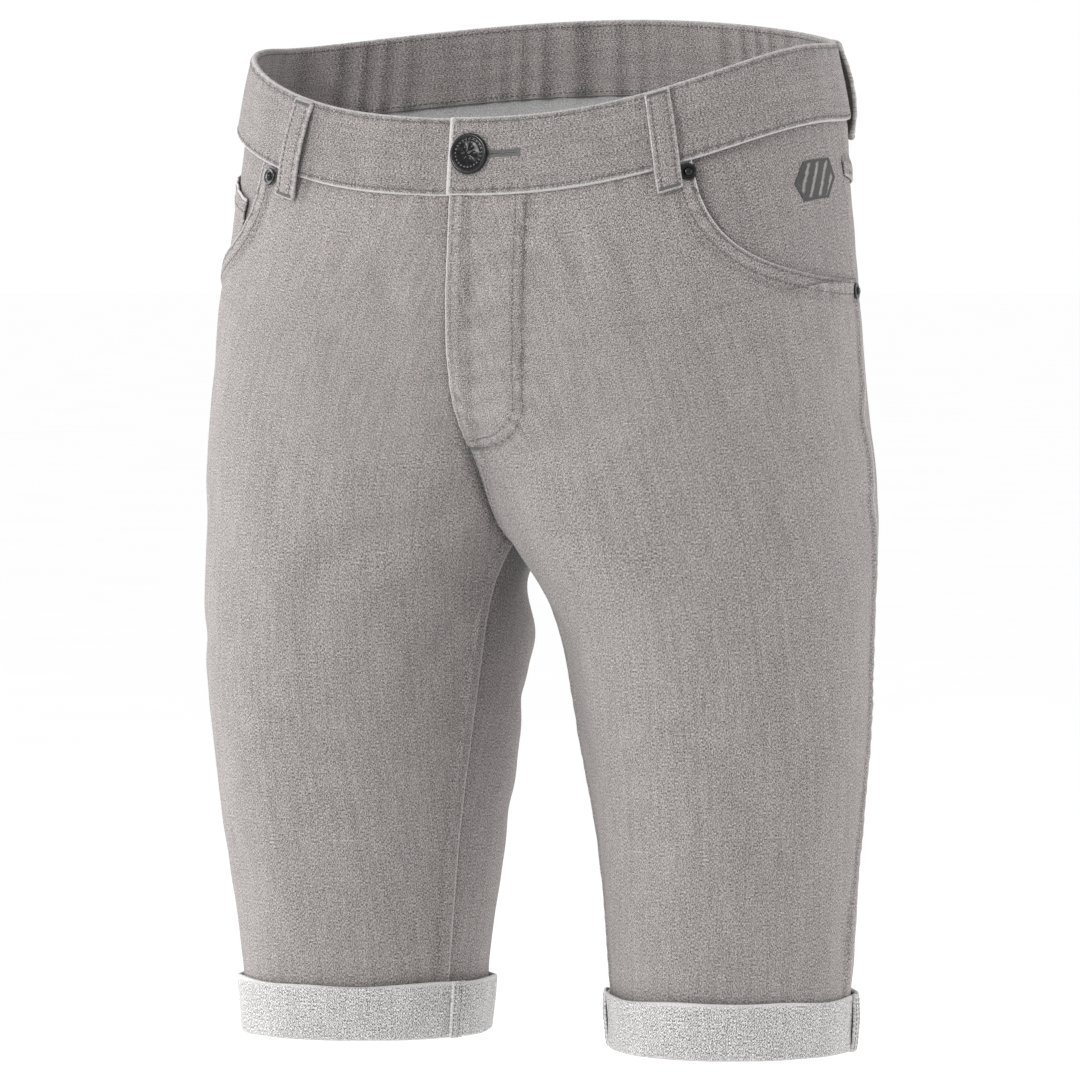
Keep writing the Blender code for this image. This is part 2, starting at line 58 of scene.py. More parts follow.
# Sizes shared with the CAD solids
BAND_HEIGHT = 4.1 * CM
BAND_LEAN = 0.045
WAIST_SEAM_Z = -BAND_HEIGHT / 2
BACK_RISE = 1.76 * CM
FRONT_DIP = 3.66 * CM
WAIST_DEPTH = 11.0 * CM
TILT_FADE = 20 * CM
CUFF_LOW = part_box("cuff_left")[0][2]
HEM_DROP = WAIST_SEAM_Z - CUFF_LOW
CUFF_DEPTH = 3.1 * CM
YOKE_AT_SIDE = 2.9 * CM
YOKE_AT_BACK = 6.5 * CM
POCKET_DROP = 8.5 * CM
POCKET_START = 44.4
POCKET_SQUARENESS = 2.6
COIN_POCKET_TOP = 2.6 * CM
FLY_WIDTH = 4.3 * CM
FLY_DROP = 17.4 * CM

# Cloth
CLOTH = 1.1 * MM                 # wall of a single layer
FOLD_LIFT = 1.35 * MM            # how far a folded edge stands off the panel beside it
FLY_STANDS = 0.7 * MM            # how far the fly's facing lifts the cloth over it
UNDERLAP = 4.5 * MM              # how far a panel runs on under the one that laps over it
REACH = {1: -0.8 * MM, -1: -UNDERLAP}  # x at which each half's panels end at the middle
TUCK = 4 * MM                    # how far the panels run up under the waistband
PANEL_END = HEM_DROP - 2.6 * MM  # where the panels end inside the turned-up hems
BAND_OUT = 2.1 * MM
BAND_IN = -3.9 * MM
CUFF_OUT = 3.4 * MM
CUFF_STRIP = 1.3 * MM            # thickness of the bound seam edges on the turned-up hems
CUFF_STRIP_HALF = 4.2 * MM
CREASE_GAIN = 1.5                # every crease is this much deeper than its table says

# Sewing
THREAD = 0.30 * MM               # half the thickness of the sewing thread
STITCH = 3.1 * MM                # from one stitch to the next
TACK = 2.0 * MM                  # width of the bar tacks
CLOSE = 0.6 * MM                 # from one stitch of a bar tack to the next
ROWS = {                         # the two rows of stitches beside a seam
    "pocket": (-1.8 * MM, -8 * MM),
    "rise_front": (1.8 * MM, 7.2 * MM),
    "fly": (0.0, -5.6 * MM),
    "rise_back": (-1.8 * MM, -7.4 * MM),
    "yoke": (1.7 * MM, 7.6 * MM),
}
ROWS_MEET = 0.30                 # share of the back seam that lies on the yoke

# Back pockets: turns of the two edges at the top, how far they close in below, and drops
POCKET_LOW, POCKET_HIGH = 130.5, 183.0
POCKET_LOW_IN, POCKET_HIGH_IN = 1.6, 1.2
POCKET_TOP = (9.2, 9.6)

# Belt loops
LOOP_HALF = 6.5 * MM
LOOP_LENGTH = BAND_HEIGHT + 1.15 * CM
LOOP_TURNS = {"belt_loop_front_left": 39.4, "belt_loop_front_right": -34.4,
              "belt_loop_side_left": 116.0, "belt_loop_side_right": -116.0,
              "belt_loop_back": 180.0}

# Button, buttonhole, rivets and badge
BUTTON_TURN = 3.4
BUTTON_RISE = 2.15 * CM
BUTTON_RADIUS = 11.0 * MM
HOLE_TURNS = (5.6, 12.6)
RIVET_RADIUS = 4.6 * MM
RIVET_LIFT = 1.4 * MM
RIVET_TURNS = {1: 43.4, -1: 40.8}
RIVET_TOP_DROP, RIVET_SIDE_DROP = 0.6 * CM, 9.15 * CM
RIVET_SIDE_TURN = -3.2           # from the side seam
BADGE_TURN, BADGE_DROP = 81.0, 3.0 * CM
BADGE_WIDE, BADGE_HIGH = 1.9 * CM, 1.06 * CM

VIEW_AZIMUTH, VIEW_ELEVATION = 26.0, 2.5
VIEW_DISTANCE = 4.2
VIEW_TARGET_Z = -22.8 * CM + WAIST_SEAM_Z
VIEW_SHIFT = 0.33 * CM           # the photo's middle lies this far to the left of the shorts'
LENS = 256.2                     # on a sensor 36 mm wide
FLOOR_RADIUS, FLOOR_STEPS = 60, 96
FLOOR_GAP = 0.28                 # from the floor up to the turned-up hems

# The form: drop, centre, middle y outside and inside, half widths out and in, half depths
# front and back, roundness of the corners fo, bo, fi, bi, and slant (centimetres)
SECTIONS = np.array((
    (0.0,   0.0, -0.4, -0.4, 17.3, 17.3, 11.0, 11.0, 2.40, 1.95, 2.40, 1.95, 0.00),
    (4.0,   2.4, -0.7, -0.8, 15.2, 16.8, 10.9, 11.9, 2.35, 1.85, 2.50, 2.10, 0.00),
    (8.0,   4.5, -1.1, -1.3, 13.4, 15.4, 10.6, 12.6, 2.40, 1.85, 2.50, 2.10, 0.00),
    (12.0,  6.4, -1.3, -1.9, 11.8, 13.2, 10.2, 13.0, 2.40, 1.85, 2.40, 2.10, 0.00),
    (16.0,  7.8, -1.3, -2.6, 10.7, 11.4,  9.7, 12.7, 2.40, 1.85, 2.20, 2.00, 0.00),
    (19.0,  8.8, -1.0, -3.2, 10.0, 10.5,  9.1, 12.0, 2.40, 1.95, 2.00, 1.95, 0.02),
    (22.0,  9.5, -0.7, -3.6,  9.5,  9.7,  8.6, 11.2, 2.30, 2.05, 1.75, 1.90, 0.04),
    (24.5,  9.9, -0.5, -2.8,  9.2,  8.7,  8.5, 10.4, 2.25, 2.10, 1.70, 2.10, 0.08),
    (28.0, 10.2, -0.4, -1.4,  8.9,  8.0,  8.6,  9.5, 2.15, 2.10, 1.75, 2.20, 0.12),
    (32.0, 10.5, -0.2, -0.6,  8.5,  7.8,  8.5,  8.6, 2.10, 2.10, 1.80, 2.15, 0.12),
    (38.0, 10.8,  0.0,  0.0,  7.7,  7.2,  7.7,  7.8, 2.05, 2.05, 1.90, 2.10, 0.12),
    (44.0, 11.0,  0.1,  0.1,  6.9,  6.7,  6.9,  7.0, 2.00, 2.00, 2.00, 2.00, 0.09),
    (51.0, 11.1,  0.1,  0.1,  6.4,  6.3,  6.4,  6.4, 2.00, 2.00, 2.00, 2.00, 0.05),
))
SECTION_SCALE = np.array([CM] * 7 + [1.0] * 5)
SIDE_SEAM = np.array(((0, 95.0), (4, 100.0), (10, 104.0), (25, 104.0), (36, 100.0), (51, 96.0)))

# Creases of each half: (turn, drop in centimetres) along the crease, its half
# width in millimetres and its height in millimetres, below zero for a trough
CREASES = {
    1: (
        (((-48, 18.8), (-25, 17.8), (-8, 16.5), (8, 15.2), (22, 13.8)), 12, -2.6),
        (((-40, 20.4), (-18, 19.6), (4, 18.4), (20, 17.0)), 13, 1.5),
        (((-30, 21.6), (-6, 22.1), (10, 22.8), (24, 24.0)), 8, -2.2),
        (((-24, 23.6), (-4, 24.3), (16, 25.6)), 12, 1.2),
        (((17, 1.2), (18, 4.2), (16, 7.0)), 5, -1.0),
        (((23, 1.0), (24, 4.2), (21, 8.0)), 5, 0.7),
        (((30, 1.5), (28, 6.0), (25, 10.5)), 6, -1.1),
        (((40, 10.0), (30, 12.0), (24, 15.0)), 12, 0.9),
        (((55, 27.0), (25, 28.4), (-5, 29.0)), 14, -0.9),
        (((82, 13.0), (92, 15.0), (104, 16.0), (118, 16.0)), 10, -1.3),
        (((80, 19.5), (96, 20.5), (112, 20.3)), 9, -1.1),
        (((255, 24.6), (232, 25.8), (205, 26.4), (176, 26.0)), 12, -3.2),
        (((250, 27.4), (225, 28.8), (196, 29.6), (160, 29.0)), 12, 1.8),
        (((248, 30.4), (222, 32.0), (195, 32.8), (165, 32.6)), 11, -2.2),
        (((262, 36.5), (235, 38.0), (205, 38.4), (180, 37.8)), 12, -1.4),
        (((135, 25.4), (155, 27.0), (176, 28.2)), 12, -1.6),
        (((120, 33.0), (140, 36.0), (150, 40.0)), 14, -1.0),
        (((215, 12.0), (204, 15.0), (190, 18.0)), 12, -1.2),
        (((-70, 30.0), (-55, 33.0), (-50, 37.0)), 12, -1.2),
        (((-75, 26.0), (-62, 27.6), (-48, 30.2)), 9, -1.3),
        (((0, 44.0), (2, 38.0), (-4, 33.0)), 15, 0.8),
        (((55, 47.0), (60, 41.0), (52, 35.0)), 14, -0.8),
        (((88, 46.8), (84, 44.0), (86, 41.0)), 9, -1.2),
    ),
    -1: (
        (((-64, 20.6), (-42, 21.9), (-22, 23.0), (-11, 24.4), (-10, 26.8), (-14, 29.8)), 10, -2.6),
        (((-58, 23.4), (-36, 24.8), (-24, 26.8)), 13, 1.3),
        (((-60, 18.4), (-35, 19.6), (-12, 20.6), (4, 22.0)), 13, 1.3),
        (((6, 3.6), (0, 6.4), (-11, 9.0)), 9, -1.2),
        (((-4, 10.6), (-16, 13.0), (-30, 15.0)), 12, -0.8),
        (((14, 28.8), (40, 28.4), (72, 28.2)), 10, -1.1),
        (((20, 13.0), (45, 13.2), (70, 13.0)), 13, -0.8),
        (((24, 17.0), (20, 21.0), (22, 25.0)), 16, 0.8),
        (((255, 24.8), (230, 25.6), (202, 26.6), (178, 26.6)), 12, -3.0),
        (((250, 27.6), (224, 28.6), (198, 29.8), (166, 29.6)), 12, 1.7),
        (((250, 30.8), (224, 32.4), (198, 33.0), (168, 32.0)), 11, -2.0),
        (((260, 37.0), (232, 38.2), (206, 38.0), (182, 37.0)), 12, -1.3),
        (((138, 26.0), (156, 27.4), (178, 28.4)), 12, -1.5),
        (((122, 34.0), (141, 36.4), (152, 41.0)), 14, -1.0),
        (((214, 11.5), (203, 14.6), (188, 18.4)), 12, -1.2),
        (((-74, 27.0), (-60, 29.0), (-48, 32.0)), 9, -1.2),
        (((-30, 45.0), (-26, 40.0), (-32, 35.0)), 15, 0.8),
        (((30, 46.8), (34, 42.0), (28, 37.0)), 14, -0.8),
        (((100, 12.0), (92, 14.0), (80, 15.0)), 10, -1.0),
    ),
}


def smooth(low, high, value):
    """0 at low, 1 at high, with level ends."""
    share = np.clip((value - low) / (high - low), 0, 1)
    return share * share * (3 - 2 * share)


def fall(low, high, value):
    """1 at low, 0 at high, with level ends."""
    return 1 - smooth(low, high, value)


def bell(distance, width):
    """1 at no distance, dying away over the width."""
    return np.exp(-(distance / width) ** 2)


def between(low, high, share):
    """Low at a share of 0, high at 1."""
    return low * (1 - share) + high * share


def spline(knots, values, at):
    """Natural cubic through the columns of values at the knots."""
    steps = np.diff(knots)
    count = len(knots)
    system = np.eye(count)
    right = np.zeros_like(values)
    for i in range(1, count - 1):
        system[i, i - 1:i + 2] = steps[i - 1], 2 * (steps[i - 1] + steps[i]), steps[i]
        slope_after = (values[i + 1] - values[i]) / steps[i]
        slope_before = (values[i] - values[i - 1]) / steps[i - 1]
        right[i] = 6 * (slope_after - slope_before)
    bend = np.linalg.solve(system, right)
    span = np.clip(np.searchsorted(knots, at) - 1, 0, count - 2)
    width = steps[span][..., None]
    to_next = (knots[span + 1] - at)[..., None]
    from_last = (at - knots[span])[..., None]
    curve = (bend[span] * to_next ** 3 + bend[span + 1] * from_last ** 3) / (6 * width)
    curve += (values[span] / width - bend[span] * width / 6) * to_next
    curve += (values[span + 1] / width - bend[span + 1] * width / 6) * from_last
    return curve


def form(turn, drop):
    """Points on the outer face of the wearer's left half, from turns (deg) and drops (m)."""
    turn, drop = np.broadcast_arrays(np.asarray(turn, float), np.asarray(drop, float))
    section = spline(SECTIONS[:, 0] * CM, SECTIONS[:, 1:] * SECTION_SCALE, drop)
    centre, y_out, y_in, outer, inner, front, back = np.moveaxis(section[..., :7], -1, 0)
    front_out, back_out, front_in, back_in, slant = np.moveaxis(section[..., 7:], -1, 0)
    sine = np.sin(np.radians(turn))
    cosine = np.cos(np.radians(turn))
    outwards = (1 + sine) / 2
    forwards = (1 + cosine) / 2
    power = (outwards * (forwards * front_out + (1 - forwards) * back_out)
             + (1 - outwards) * (forwards * front_in + (1 - forwards) * back_in))
    reach = (np.abs(sine) ** power + np.abs(cosine) ** power) ** (-1 / power)
    depth = -np.where(cosine >= 0, front, back) * cosine * reach
    x = centre + np.where(sine >= 0, outer, inner) * sine * reach - slant * depth
    y = depth + outwards * y_out + (1 - outwards) * y_in
    fade = 1 - smooth(0, TILT_FADE, drop)
    share = y / WAIST_DEPTH
    rise = BACK_RISE * (0.09 * share + 0.91 * np.clip(share, 0, None) ** 2)
    dip = FRONT_DIP * (0.04 * share - 0.96 * np.clip(-share, 0, None) ** 2.4)
    return np.stack([x, y, WAIST_SEAM_Z - drop + fade * np.where(share > 0, rise, dip)], -1)


def unit(vectors):
    return vectors / np.linalg.norm(vectors, axis=-1, keepdims=True)


def normals(turn, drop):
    """Outward unit normals of the form."""
    across = form(turn + 0.5, drop) - form(turn - 0.5, drop)
    down = form(turn, drop + MM) - form(turn, drop - MM)
    return unit(np.cross(down, across))


def lengths_along(points):
    """Length along a line of points up to each of them."""
    return np.concatenate([[0], np.cumsum(np.linalg.norm(np.diff(points, axis=0), axis=1))])


def side_seam(drop):
    """Turn of the outer side seam at a drop."""
    return spline(SIDE_SEAM[:, 0] * CM, SIDE_SEAM[:, 1:], np.asarray(drop, float))[..., 0]


def solve(function, low, high):
    """Where, between the arrays low and high, the function changes sign."""
    low, high = np.array(low, float), np.array(high, float)
    rising = function(high) > function(low)
    for _ in range(45):
        middle = (low + high) / 2
        above = (function(middle) > 0) == rising
        high = np.where(above, middle, high)
        low = np.where(above, low, middle)
    return (low + high) / 2


CROTCH_DROP = float(solve(lambda drop: form(270.0, drop)[..., 0], 20 * CM, 26 * CM))


def inseam(drop):
    """Turn of the inner leg seam, which wanders to the front below the crotch."""
    return 270 + 20 * (1 - np.exp(-np.maximum(drop - CROTCH_DROP, 0) / (9 * CM)))


def rise_turn(drop, front, reach=0.0):
    """Turn at which the tube is `reach` from the middle plane, down to the crotch."""
    drop = np.asarray(drop, float)
    low, high = (-90.0, 14.0) if front else (166.0, 270.0)
    return solve(lambda turn: form(turn, drop)[..., 0] - reach,
                 np.full(drop.shape, low), np.full(drop.shape, high))


def pocket_turn(drop):
    """Turn of the front pocket's opening at a drop: a squarish quarter oval."""
    end = float(side_seam(POCKET_DROP))
    share = np.clip(drop / POCKET_DROP, 0, 1)
    left = np.power(1 - share ** POCKET_SQUARENESS, 1 / POCKET_SQUARENESS)
    return POCKET_START + (end - POCKET_START) * (1 - left)


def degrees_for(length, turn, drop):
    """Degrees of turn that cover a length on the form."""
    return length / np.linalg.norm(form(turn + 0.5, drop) - form(turn - 0.5, drop), axis=-1)


def nearest(points, line):
    """Distance from each point to a dense line of points, and the index of the nearest."""
    flat = points.reshape(-1, 3)
    best = np.empty(len(flat))
    index = np.empty(len(flat), int)
    line_square = (line ** 2).sum(1)
    for start in range(0, len(flat), 4000):
        chunk = flat[start:start + 4000]
        square = (chunk ** 2).sum(1)[:, None] - 2 * chunk @ line.T + line_square
        index[start:start + 4000] = square.argmin(1)
        best[start:start + 4000] = np.sqrt(np.maximum(square.min(1), 0))
    return best.reshape(points.shape[:-1]), index.reshape(points.shape[:-1])


class Seam:
    """A dense line on the form, with its normals and the length along it."""

    def __init__(self, turns, drops):
        self.points = form(turns, drops)
        self.out = normals(turns, drops)
        self.along = lengths_along(self.points)
        self.across = unit(np.cross(self.out, unit(np.gradient(self.points, axis=0))))

    def beyond(self, points, index):
        """Signed distance: above zero at the greater turns, or above a level seam."""
        return ((points - self.points[index]) * self.across[index]).sum(-1)

    def ripple(self, index, period=8.5 * MM):
        """Uneven waves along the seam, between -1 and 1, as sewing gathers the cloth."""
        s = self.along[index]
        uneven = 2.2 * np.sin(s / (12.2 * MM)) + 1.4 * np.sin(s / (11 * MM))
        phase = 2 * math.pi * s / period + uneven
        return np.sin(phase) * (0.7 + 0.3 * np.sin(s / (17 * MM) + 1.0))


def sine_steps(start, end, count, crowding=1.0):
    """Values that crowd towards the end."""
    share = np.linspace(0, 1, count)
    share = share + crowding * (np.sin(share * math.pi / 2) - share)
    return start + (end - start) * share


def oval(share):
    """Squares off the quarter oval of the pocket's opening."""
    return np.power(np.clip(share, 0, 1), 2 / POCKET_SQUARENESS)


def make_seams():
    """Seams of the wearer's left half by name."""
    rise_drop = sine_steps(0, CROTCH_DROP, 420)
    leg_drop = np.linspace(CROTCH_DROP, HEM_DROP, 320)
    low_drop = np.linspace(POCKET_DROP, HEM_DROP, 420)
    high_drop = np.linspace(0, POCKET_DROP, 120)
    angle = np.linspace(0, math.pi / 2, 180)
    share = np.linspace(0, 1, 220)
    pocket_end = float(side_seam(POCKET_DROP))
    yoke_start, yoke_end = float(side_seam(YOKE_AT_SIDE)), float(rise_turn(YOKE_AT_BACK, False))
    return {
        "rise_front": Seam(rise_turn(rise_drop, True), rise_drop),
        "rise_back": Seam(rise_turn(rise_drop, False), rise_drop),
        "inseam": Seam(inseam(leg_drop), leg_drop),
        "side_low": Seam(side_seam(low_drop), low_drop),
        "side_high": Seam(side_seam(high_drop), high_drop),
        "pocket": Seam(between(pocket_end, POCKET_START, oval(np.cos(angle))),
                       POCKET_DROP * oval(np.sin(angle))),
        "yoke": Seam(between(yoke_start, yoke_end, share),
                     between(YOKE_AT_SIDE, YOKE_AT_BACK, share)),
        "waist": Seam(np.linspace(-1, 181, 720), np.zeros(720)),
        "fly": Seam(*fly_line(FLY_WIDTH)),
    }


def fly_line(width):
    """The curved seam of the fly: down beside the opening, then round to its foot."""
    corner = FLY_DROP - 3.2 * CM
    angle = np.linspace(0, math.pi / 2, 60)[1:]
    drops = np.concatenate([np.linspace(0, corner, 60),
                            corner + (FLY_DROP - corner) * np.sin(angle)])
    across = np.concatenate([np.full(60, width), width * np.cos(angle) ** 0.8])
    turns = solve(lambda turn: form(turn, drops)[..., 0] - across,
                  np.full(drops.shape, -90.0), np.full(drops.shape, 40.0))
    return turns, drops


def crease_lines(side):
    """A half's creases as lines of points on the form, each with its width and height."""
    lines = []
    for path, width, height in CREASES[side]:
        path = np.array(path, float)
        at = np.linspace(0, len(path) - 1, 70)
        line = spline(np.arange(len(path)), path, at)
        lines.append((form(line[:, 0], line[:, 1] * CM), width * MM, height * CREASE_GAIN * MM))
    return lines


SEAMS = make_seams()
CREASE_LINES = {half: crease_lines(half) for half in CREASES}


def distance_to(name, points):
    """Distance from each point to a seam."""
    return nearest(points, SEAMS[name].points)[0]


def waves(points, wavelength, seed, count=9):
    """Smooth uneven field of about -1 to 1 with features of about the wavelength."""
    draw = np.random.default_rng(seed)
    total = np.zeros(points.shape[:-1])
    for _ in range(count):
        way = draw.normal(size=3)
        way *= 2 * math.pi / (wavelength * draw.uniform(0.8, 1.5) * np.linalg.norm(way))
        total += np.sin(points @ way + draw.uniform(0, 2 * math.pi))
    return total / math.sqrt(count)


def body_lift(points, drop, side):
    """Creases and soft unevenness of the cloth, shared by all layers at a place."""
    lift = np.zeros(points.shape[:-1])
    for line, width, height in CREASE_LINES[side]:
        distance, index = nearest(points, line)
        ends = np.sin(math.pi * (index + 0.5) / len(line)) ** 0.7
        lift += height * ends * bell(distance, width)
    calm = smooth(0, 4 * CM, drop) * (1 - smooth(HEM_DROP - 5 * CM, HEM_DROP - 2 * CM, drop) * 0.6)
    stretched = points * np.array([1.0, 1.0, 0.45])
    lift += 0.55 * MM * calm * waves(stretched, 5.2 * CM, 11 + side)
    lift += 0.16 * MM * waves(points, 2.1 * CM, 31 + side)
    # The stiff front bridges the valley between the two legs
    gap = np.clip(1 - np.abs(points[..., 0]) / (1.9 * CM), 0, 1)
    below = smooth(0.5 * CM, 6 * CM, drop) * fall(13 * CM, 19 * CM, drop)
    lift += 2.6 * MM * gap ** 2 * below * (points[..., 1] < 0)
    return lift


def seam_lift(points, over=(), flat=(), rows=()):
    """Lift of folded edges and of the gathers along seams, and each place's wear and painted shade.

    over: folded edges, with the width they stand out over and a painted shadow beside them;
    flat: seams beside which the cloth is drawn in, with painted shade along them; rows: seams
    with channels of stitches beside them, painted dark in the channels, pale and beaded between.
    """
    lift = np.zeros(points.shape[:-1])
    gather = np.zeros(points.shape[:-1])
    wear_and_shade = np.zeros(points.shape[:-1])
    for name, width, amount in over:
        distance, index = nearest(points, SEAMS[name].points)
        lift = np.maximum(lift, FOLD_LIFT * fall(width * 0.75, width * 1.35, distance))
        ripple = amount * SEAMS[name].ripple(index)
        gather += 0.40 * MM * ripple * bell(distance - 3 * MM, 7 * MM)
        # Wear and painted shade: paler on the fold and on the gathers' crests, darker in their troughs
        wear_and_shade += 0.7 * ripple * bell(distance - 3 * MM, 5 * MM) + bell(distance, 1.1 * MM)
        # Painted shadow: a dark line on the cloth beside the folded edge
        wear_and_shade -= 0.9 * bell(distance - width * 1.2, 1.6 * MM)
    for name, width, amount in flat:
        distance, index = nearest(points, SEAMS[name].points)
        ripple = amount * SEAMS[name].ripple(index, 9.5 * MM)
        gather += 0.34 * MM * ripple * bell(distance, width)
        # Paler and darker with the gathers (wear and painted shade), and painted shade along the seam
        wear_and_shade += 0.5 * ripple * bell(distance, width) - bell(distance, 2.0 * MM)
    for name in rows:
        seam = SEAMS[name]
        distance, index = nearest(points, seam.points)
        place = np.where(distance < 12 * MM, seam.beyond(points, index), 12 * MM)
        for row in ROWS[name]:
            channel = bell(place - row, 1.0 * MM)
            # Painted shade in the channels of the stitches
            wear_and_shade -= channel
            gather -= 0.22 * MM * channel
        first, second = ROWS[name]
        ripple = seam.ripple(index, 6.5 * MM)
        beads = bell(place - (first + second) / 2, abs(second - first) * 0.3)
        wear_and_shade += (0.35 + 0.75 * ripple) * beads
        gather += (0.15 + 0.12 * ripple) * MM * beads
    return lift + gather, wear_and_shade


# Mesh building

GIRTH_TURN, GIRTH_DROP = 2.0, 0.5 * CM  # steps of the lattice below


def girth_table():
    """Length round the tube from turn 0, on a lattice of turns and drops."""
    turns = np.arange(-100.0, 301.0, GIRTH_TURN)
    drops = np.arange(-1 * CM, HEM_DROP + 1 * CM, GIRTH_DROP)
    points = form(turns[:, None], drops[None, :])
    steps = np.linalg.norm(np.diff(points, axis=0), axis=2)
    lengths = np.concatenate([np.zeros((1, len(drops))), np.cumsum(steps, axis=0)])
    return turns, drops, lengths - lengths[np.argmin(np.abs(turns))]


GIRTHS = girth_table()


def plan_of(turns, drops, grain):
    """Flat place of points of the form: length round from the grain line, and drop."""
    table_turns, table_drops, lengths = GIRTHS

    def length(turn):
        i = np.clip((turn - table_turns[0]) / GIRTH_TURN, 0, len(table_turns) - 1.001)
        j = np.clip((drops - table_drops[0]) / GIRTH_DROP, 0, len(table_drops) - 1.001)
        low_i, low_j = i.astype(int), j.astype(int)
        u, v = i - low_i, j - low_j
        return ((1 - u) * (1 - v) * lengths[low_i, low_j] + u * (1 - v) * lengths[low_i + 1, low_j]
                + (1 - u) * v * lengths[low_i, low_j + 1] + u * v * lengths[low_i + 1, low_j + 1])

    return np.stack([length(turns) - length(np.full(turns.shape, grain)), drops], -1)


def make_piece(name, points, faces, materials, rounded=True):
    """Object of these points and faces, linked to the scene, shaded smooth or flat."""
    mesh = bpy.data.meshes.new(name)
    mesh.from_pydata(np.asarray(points).tolist(), [], faces)
    for material in materials:
        mesh.materials.append(material)
    mesh.polygons.foreach_set("use_smooth", np.full(len(mesh.polygons), rounded))
    piece = bpy.data.objects.new(name, mesh)
    bpy.context.collection.objects.link(piece)
    return piece


def turn_outward(mesh):
    """Make all faces of a closed mesh look outwards."""
    shape = bmesh.new()
    shape.from_mesh(mesh)
    bmesh.ops.recalc_face_normals(shape, faces=shape.faces)
    shape.to_mesh(mesh)
    shape.free()


def ring_faces(rings, count):
    """Faces between successive closed rings of points."""
    here = np.arange(rings * count).reshape(rings, count)
    ahead = np.roll(here, -1, 1)
    return np.stack([here[:-1], ahead[:-1], ahead[1:], here[1:]], -1).reshape(-1, 4)


def add_attribute(mesh, name, values):
    made = mesh.attributes.new(name, "FLOAT", "POINT")
    made.data.foreach_set("value", np.asarray(values, np.float32))


def sheet_attribute(mesh, name, values, ring, at_rim, inner=None):
    """An attribute of a closed sheet: its outer face, its inner face and its rim."""
    if values is None:
        return
    flat = values.ravel()
    below = flat * 0.5 if inner is None else inner.ravel()
    add_attribute(mesh, name, np.concatenate([flat, below, flat[ring] * at_rim]))


def closed_sheet(name, outer, inner, materials, wear_and_shade=None, worn=None, side=1, plan=None,
                 inner_wear_and_shade=None):
    """Closed shell between two grids of points, with a rounded rim all round."""
    index = np.arange(outer.shape[0] * outer.shape[1]).reshape(outer.shape[:2])
    count = index.size
    ring = np.concatenate([index[0, :-1], index[:-1, -1], index[-1, :0:-1], index[:0:-1, 0]])
    inward = np.concatenate([index[1, :-1], index[:-1, -2], index[-2, :0:-1], index[:0:-1, 1]])
    flat_outer, flat_inner = outer.reshape(-1, 3), inner.reshape(-1, 3)
    push = flat_outer[ring] - flat_outer[inward]
    wall = np.linalg.norm(flat_outer[ring] - flat_inner[ring], axis=1, keepdims=True)
    length = np.linalg.norm(push, axis=1, keepdims=True)
    push = push / np.maximum(length, 1e-9) * np.minimum(wall * 0.42, 0.5 * MM)
    middle = (flat_outer[ring] + flat_inner[ring]) / 2 + push
    points = np.concatenate([flat_outer, flat_inner, middle]) * (side, 1, 1)
    front = np.stack([index[:-1, :-1], index[:-1, 1:], index[1:, 1:], index[1:, :-1]], -1)
    front = front.reshape(-1, 4)
    following = np.roll(ring, -1)
    edge = 2 * count + np.arange(len(ring))
    edge_next = np.roll(edge, -1)
    rim_a = np.stack([following, ring, edge, edge_next], 1)
    rim_b = np.stack([edge_next, edge, ring + count, following + count], 1)
    faces = np.concatenate([front, front[:, ::-1] + count, rim_a, rim_b])
    piece = make_piece(name, points, faces.tolist(), materials)
    if len(materials) > 1:
        slots = np.zeros(len(faces), np.int32)
        slots[len(front):2 * len(front)] = 1
        piece.data.polygons.foreach_set("material_index", slots)
    add_uv(piece.data, metric_plan(outer) if plan is None else plan, ring)
    sheet_attribute(piece.data, "wear_and_shade", wear_and_shade, ring, 0.4, inner_wear_and_shade)
    sheet_attribute(piece.data, "worn", worn, ring, 0.6)
    turn_outward(piece.data)
    return piece


def metric_plan(outer):
    """Length across from the middle column and down the rows of a grid of points."""
    across = np.zeros(outer.shape[:2])
    across[:, 1:] = np.cumsum(np.linalg.norm(np.diff(outer, axis=1), axis=2), axis=1)
    across -= across[:, [across.shape[1] // 2]]
    down = np.zeros(outer.shape[:2])
    down[1:] = np.cumsum(np.linalg.norm(np.diff(outer, axis=0), axis=2), axis=0)
    return np.stack([across, down], -1)


def add_uv(mesh, plan, ring):
    """Metric texture coordinates, the same on both faces of a closed sheet."""
    flat = plan.reshape(-1, 2)
    flat = np.concatenate([flat, flat, flat[ring]])
    corners = np.empty(len(mesh.loops), np.int32)
    mesh.loops.foreach_get("vertex_index", corners)
    layer = mesh.uv_layers.new(name="cloth")
    layer.data.foreach_set("uv", flat[corners].astype(np.float32).ravel())


def columns(count):
    """Shares across a panel, crowded at both edges for their folds."""
    near = np.array([0.0, 0.0025, 0.006, 0.010, 0.0145, 0.019, 0.0235])
    return np.concatenate([near, np.linspace(0.03, 0.97, count), 1 - near[::-1]])


def level_rows(low, high, drops, share):
    """Turns and drops of a panel whose rows of points are level."""
    return between(low[:, None], high[:, None], share), np.repeat(drops[:, None], len(share), 1)


def replace(piece, node):
    """State that a piece rides on the body and stands for a CAD node."""
    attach(piece, "root")
    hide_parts(node)


def panel(node, side, turns, drops, lift, wear_and_shade, worn, materials):
    """Cloth shell at these turns and drops, lifted off the form."""
    out = normals(turns, drops)
    outer = form(turns, drops) + out * lift[..., None]
    plan = plan_of(turns, drops, 30.0 if turns.mean() < 100 else 170.0)
    piece = closed_sheet(node + "_cloth", outer, outer - out * CLOTH, materials, wear_and_shade, worn, side,
                         plan)
    replace(piece, node)
    return piece


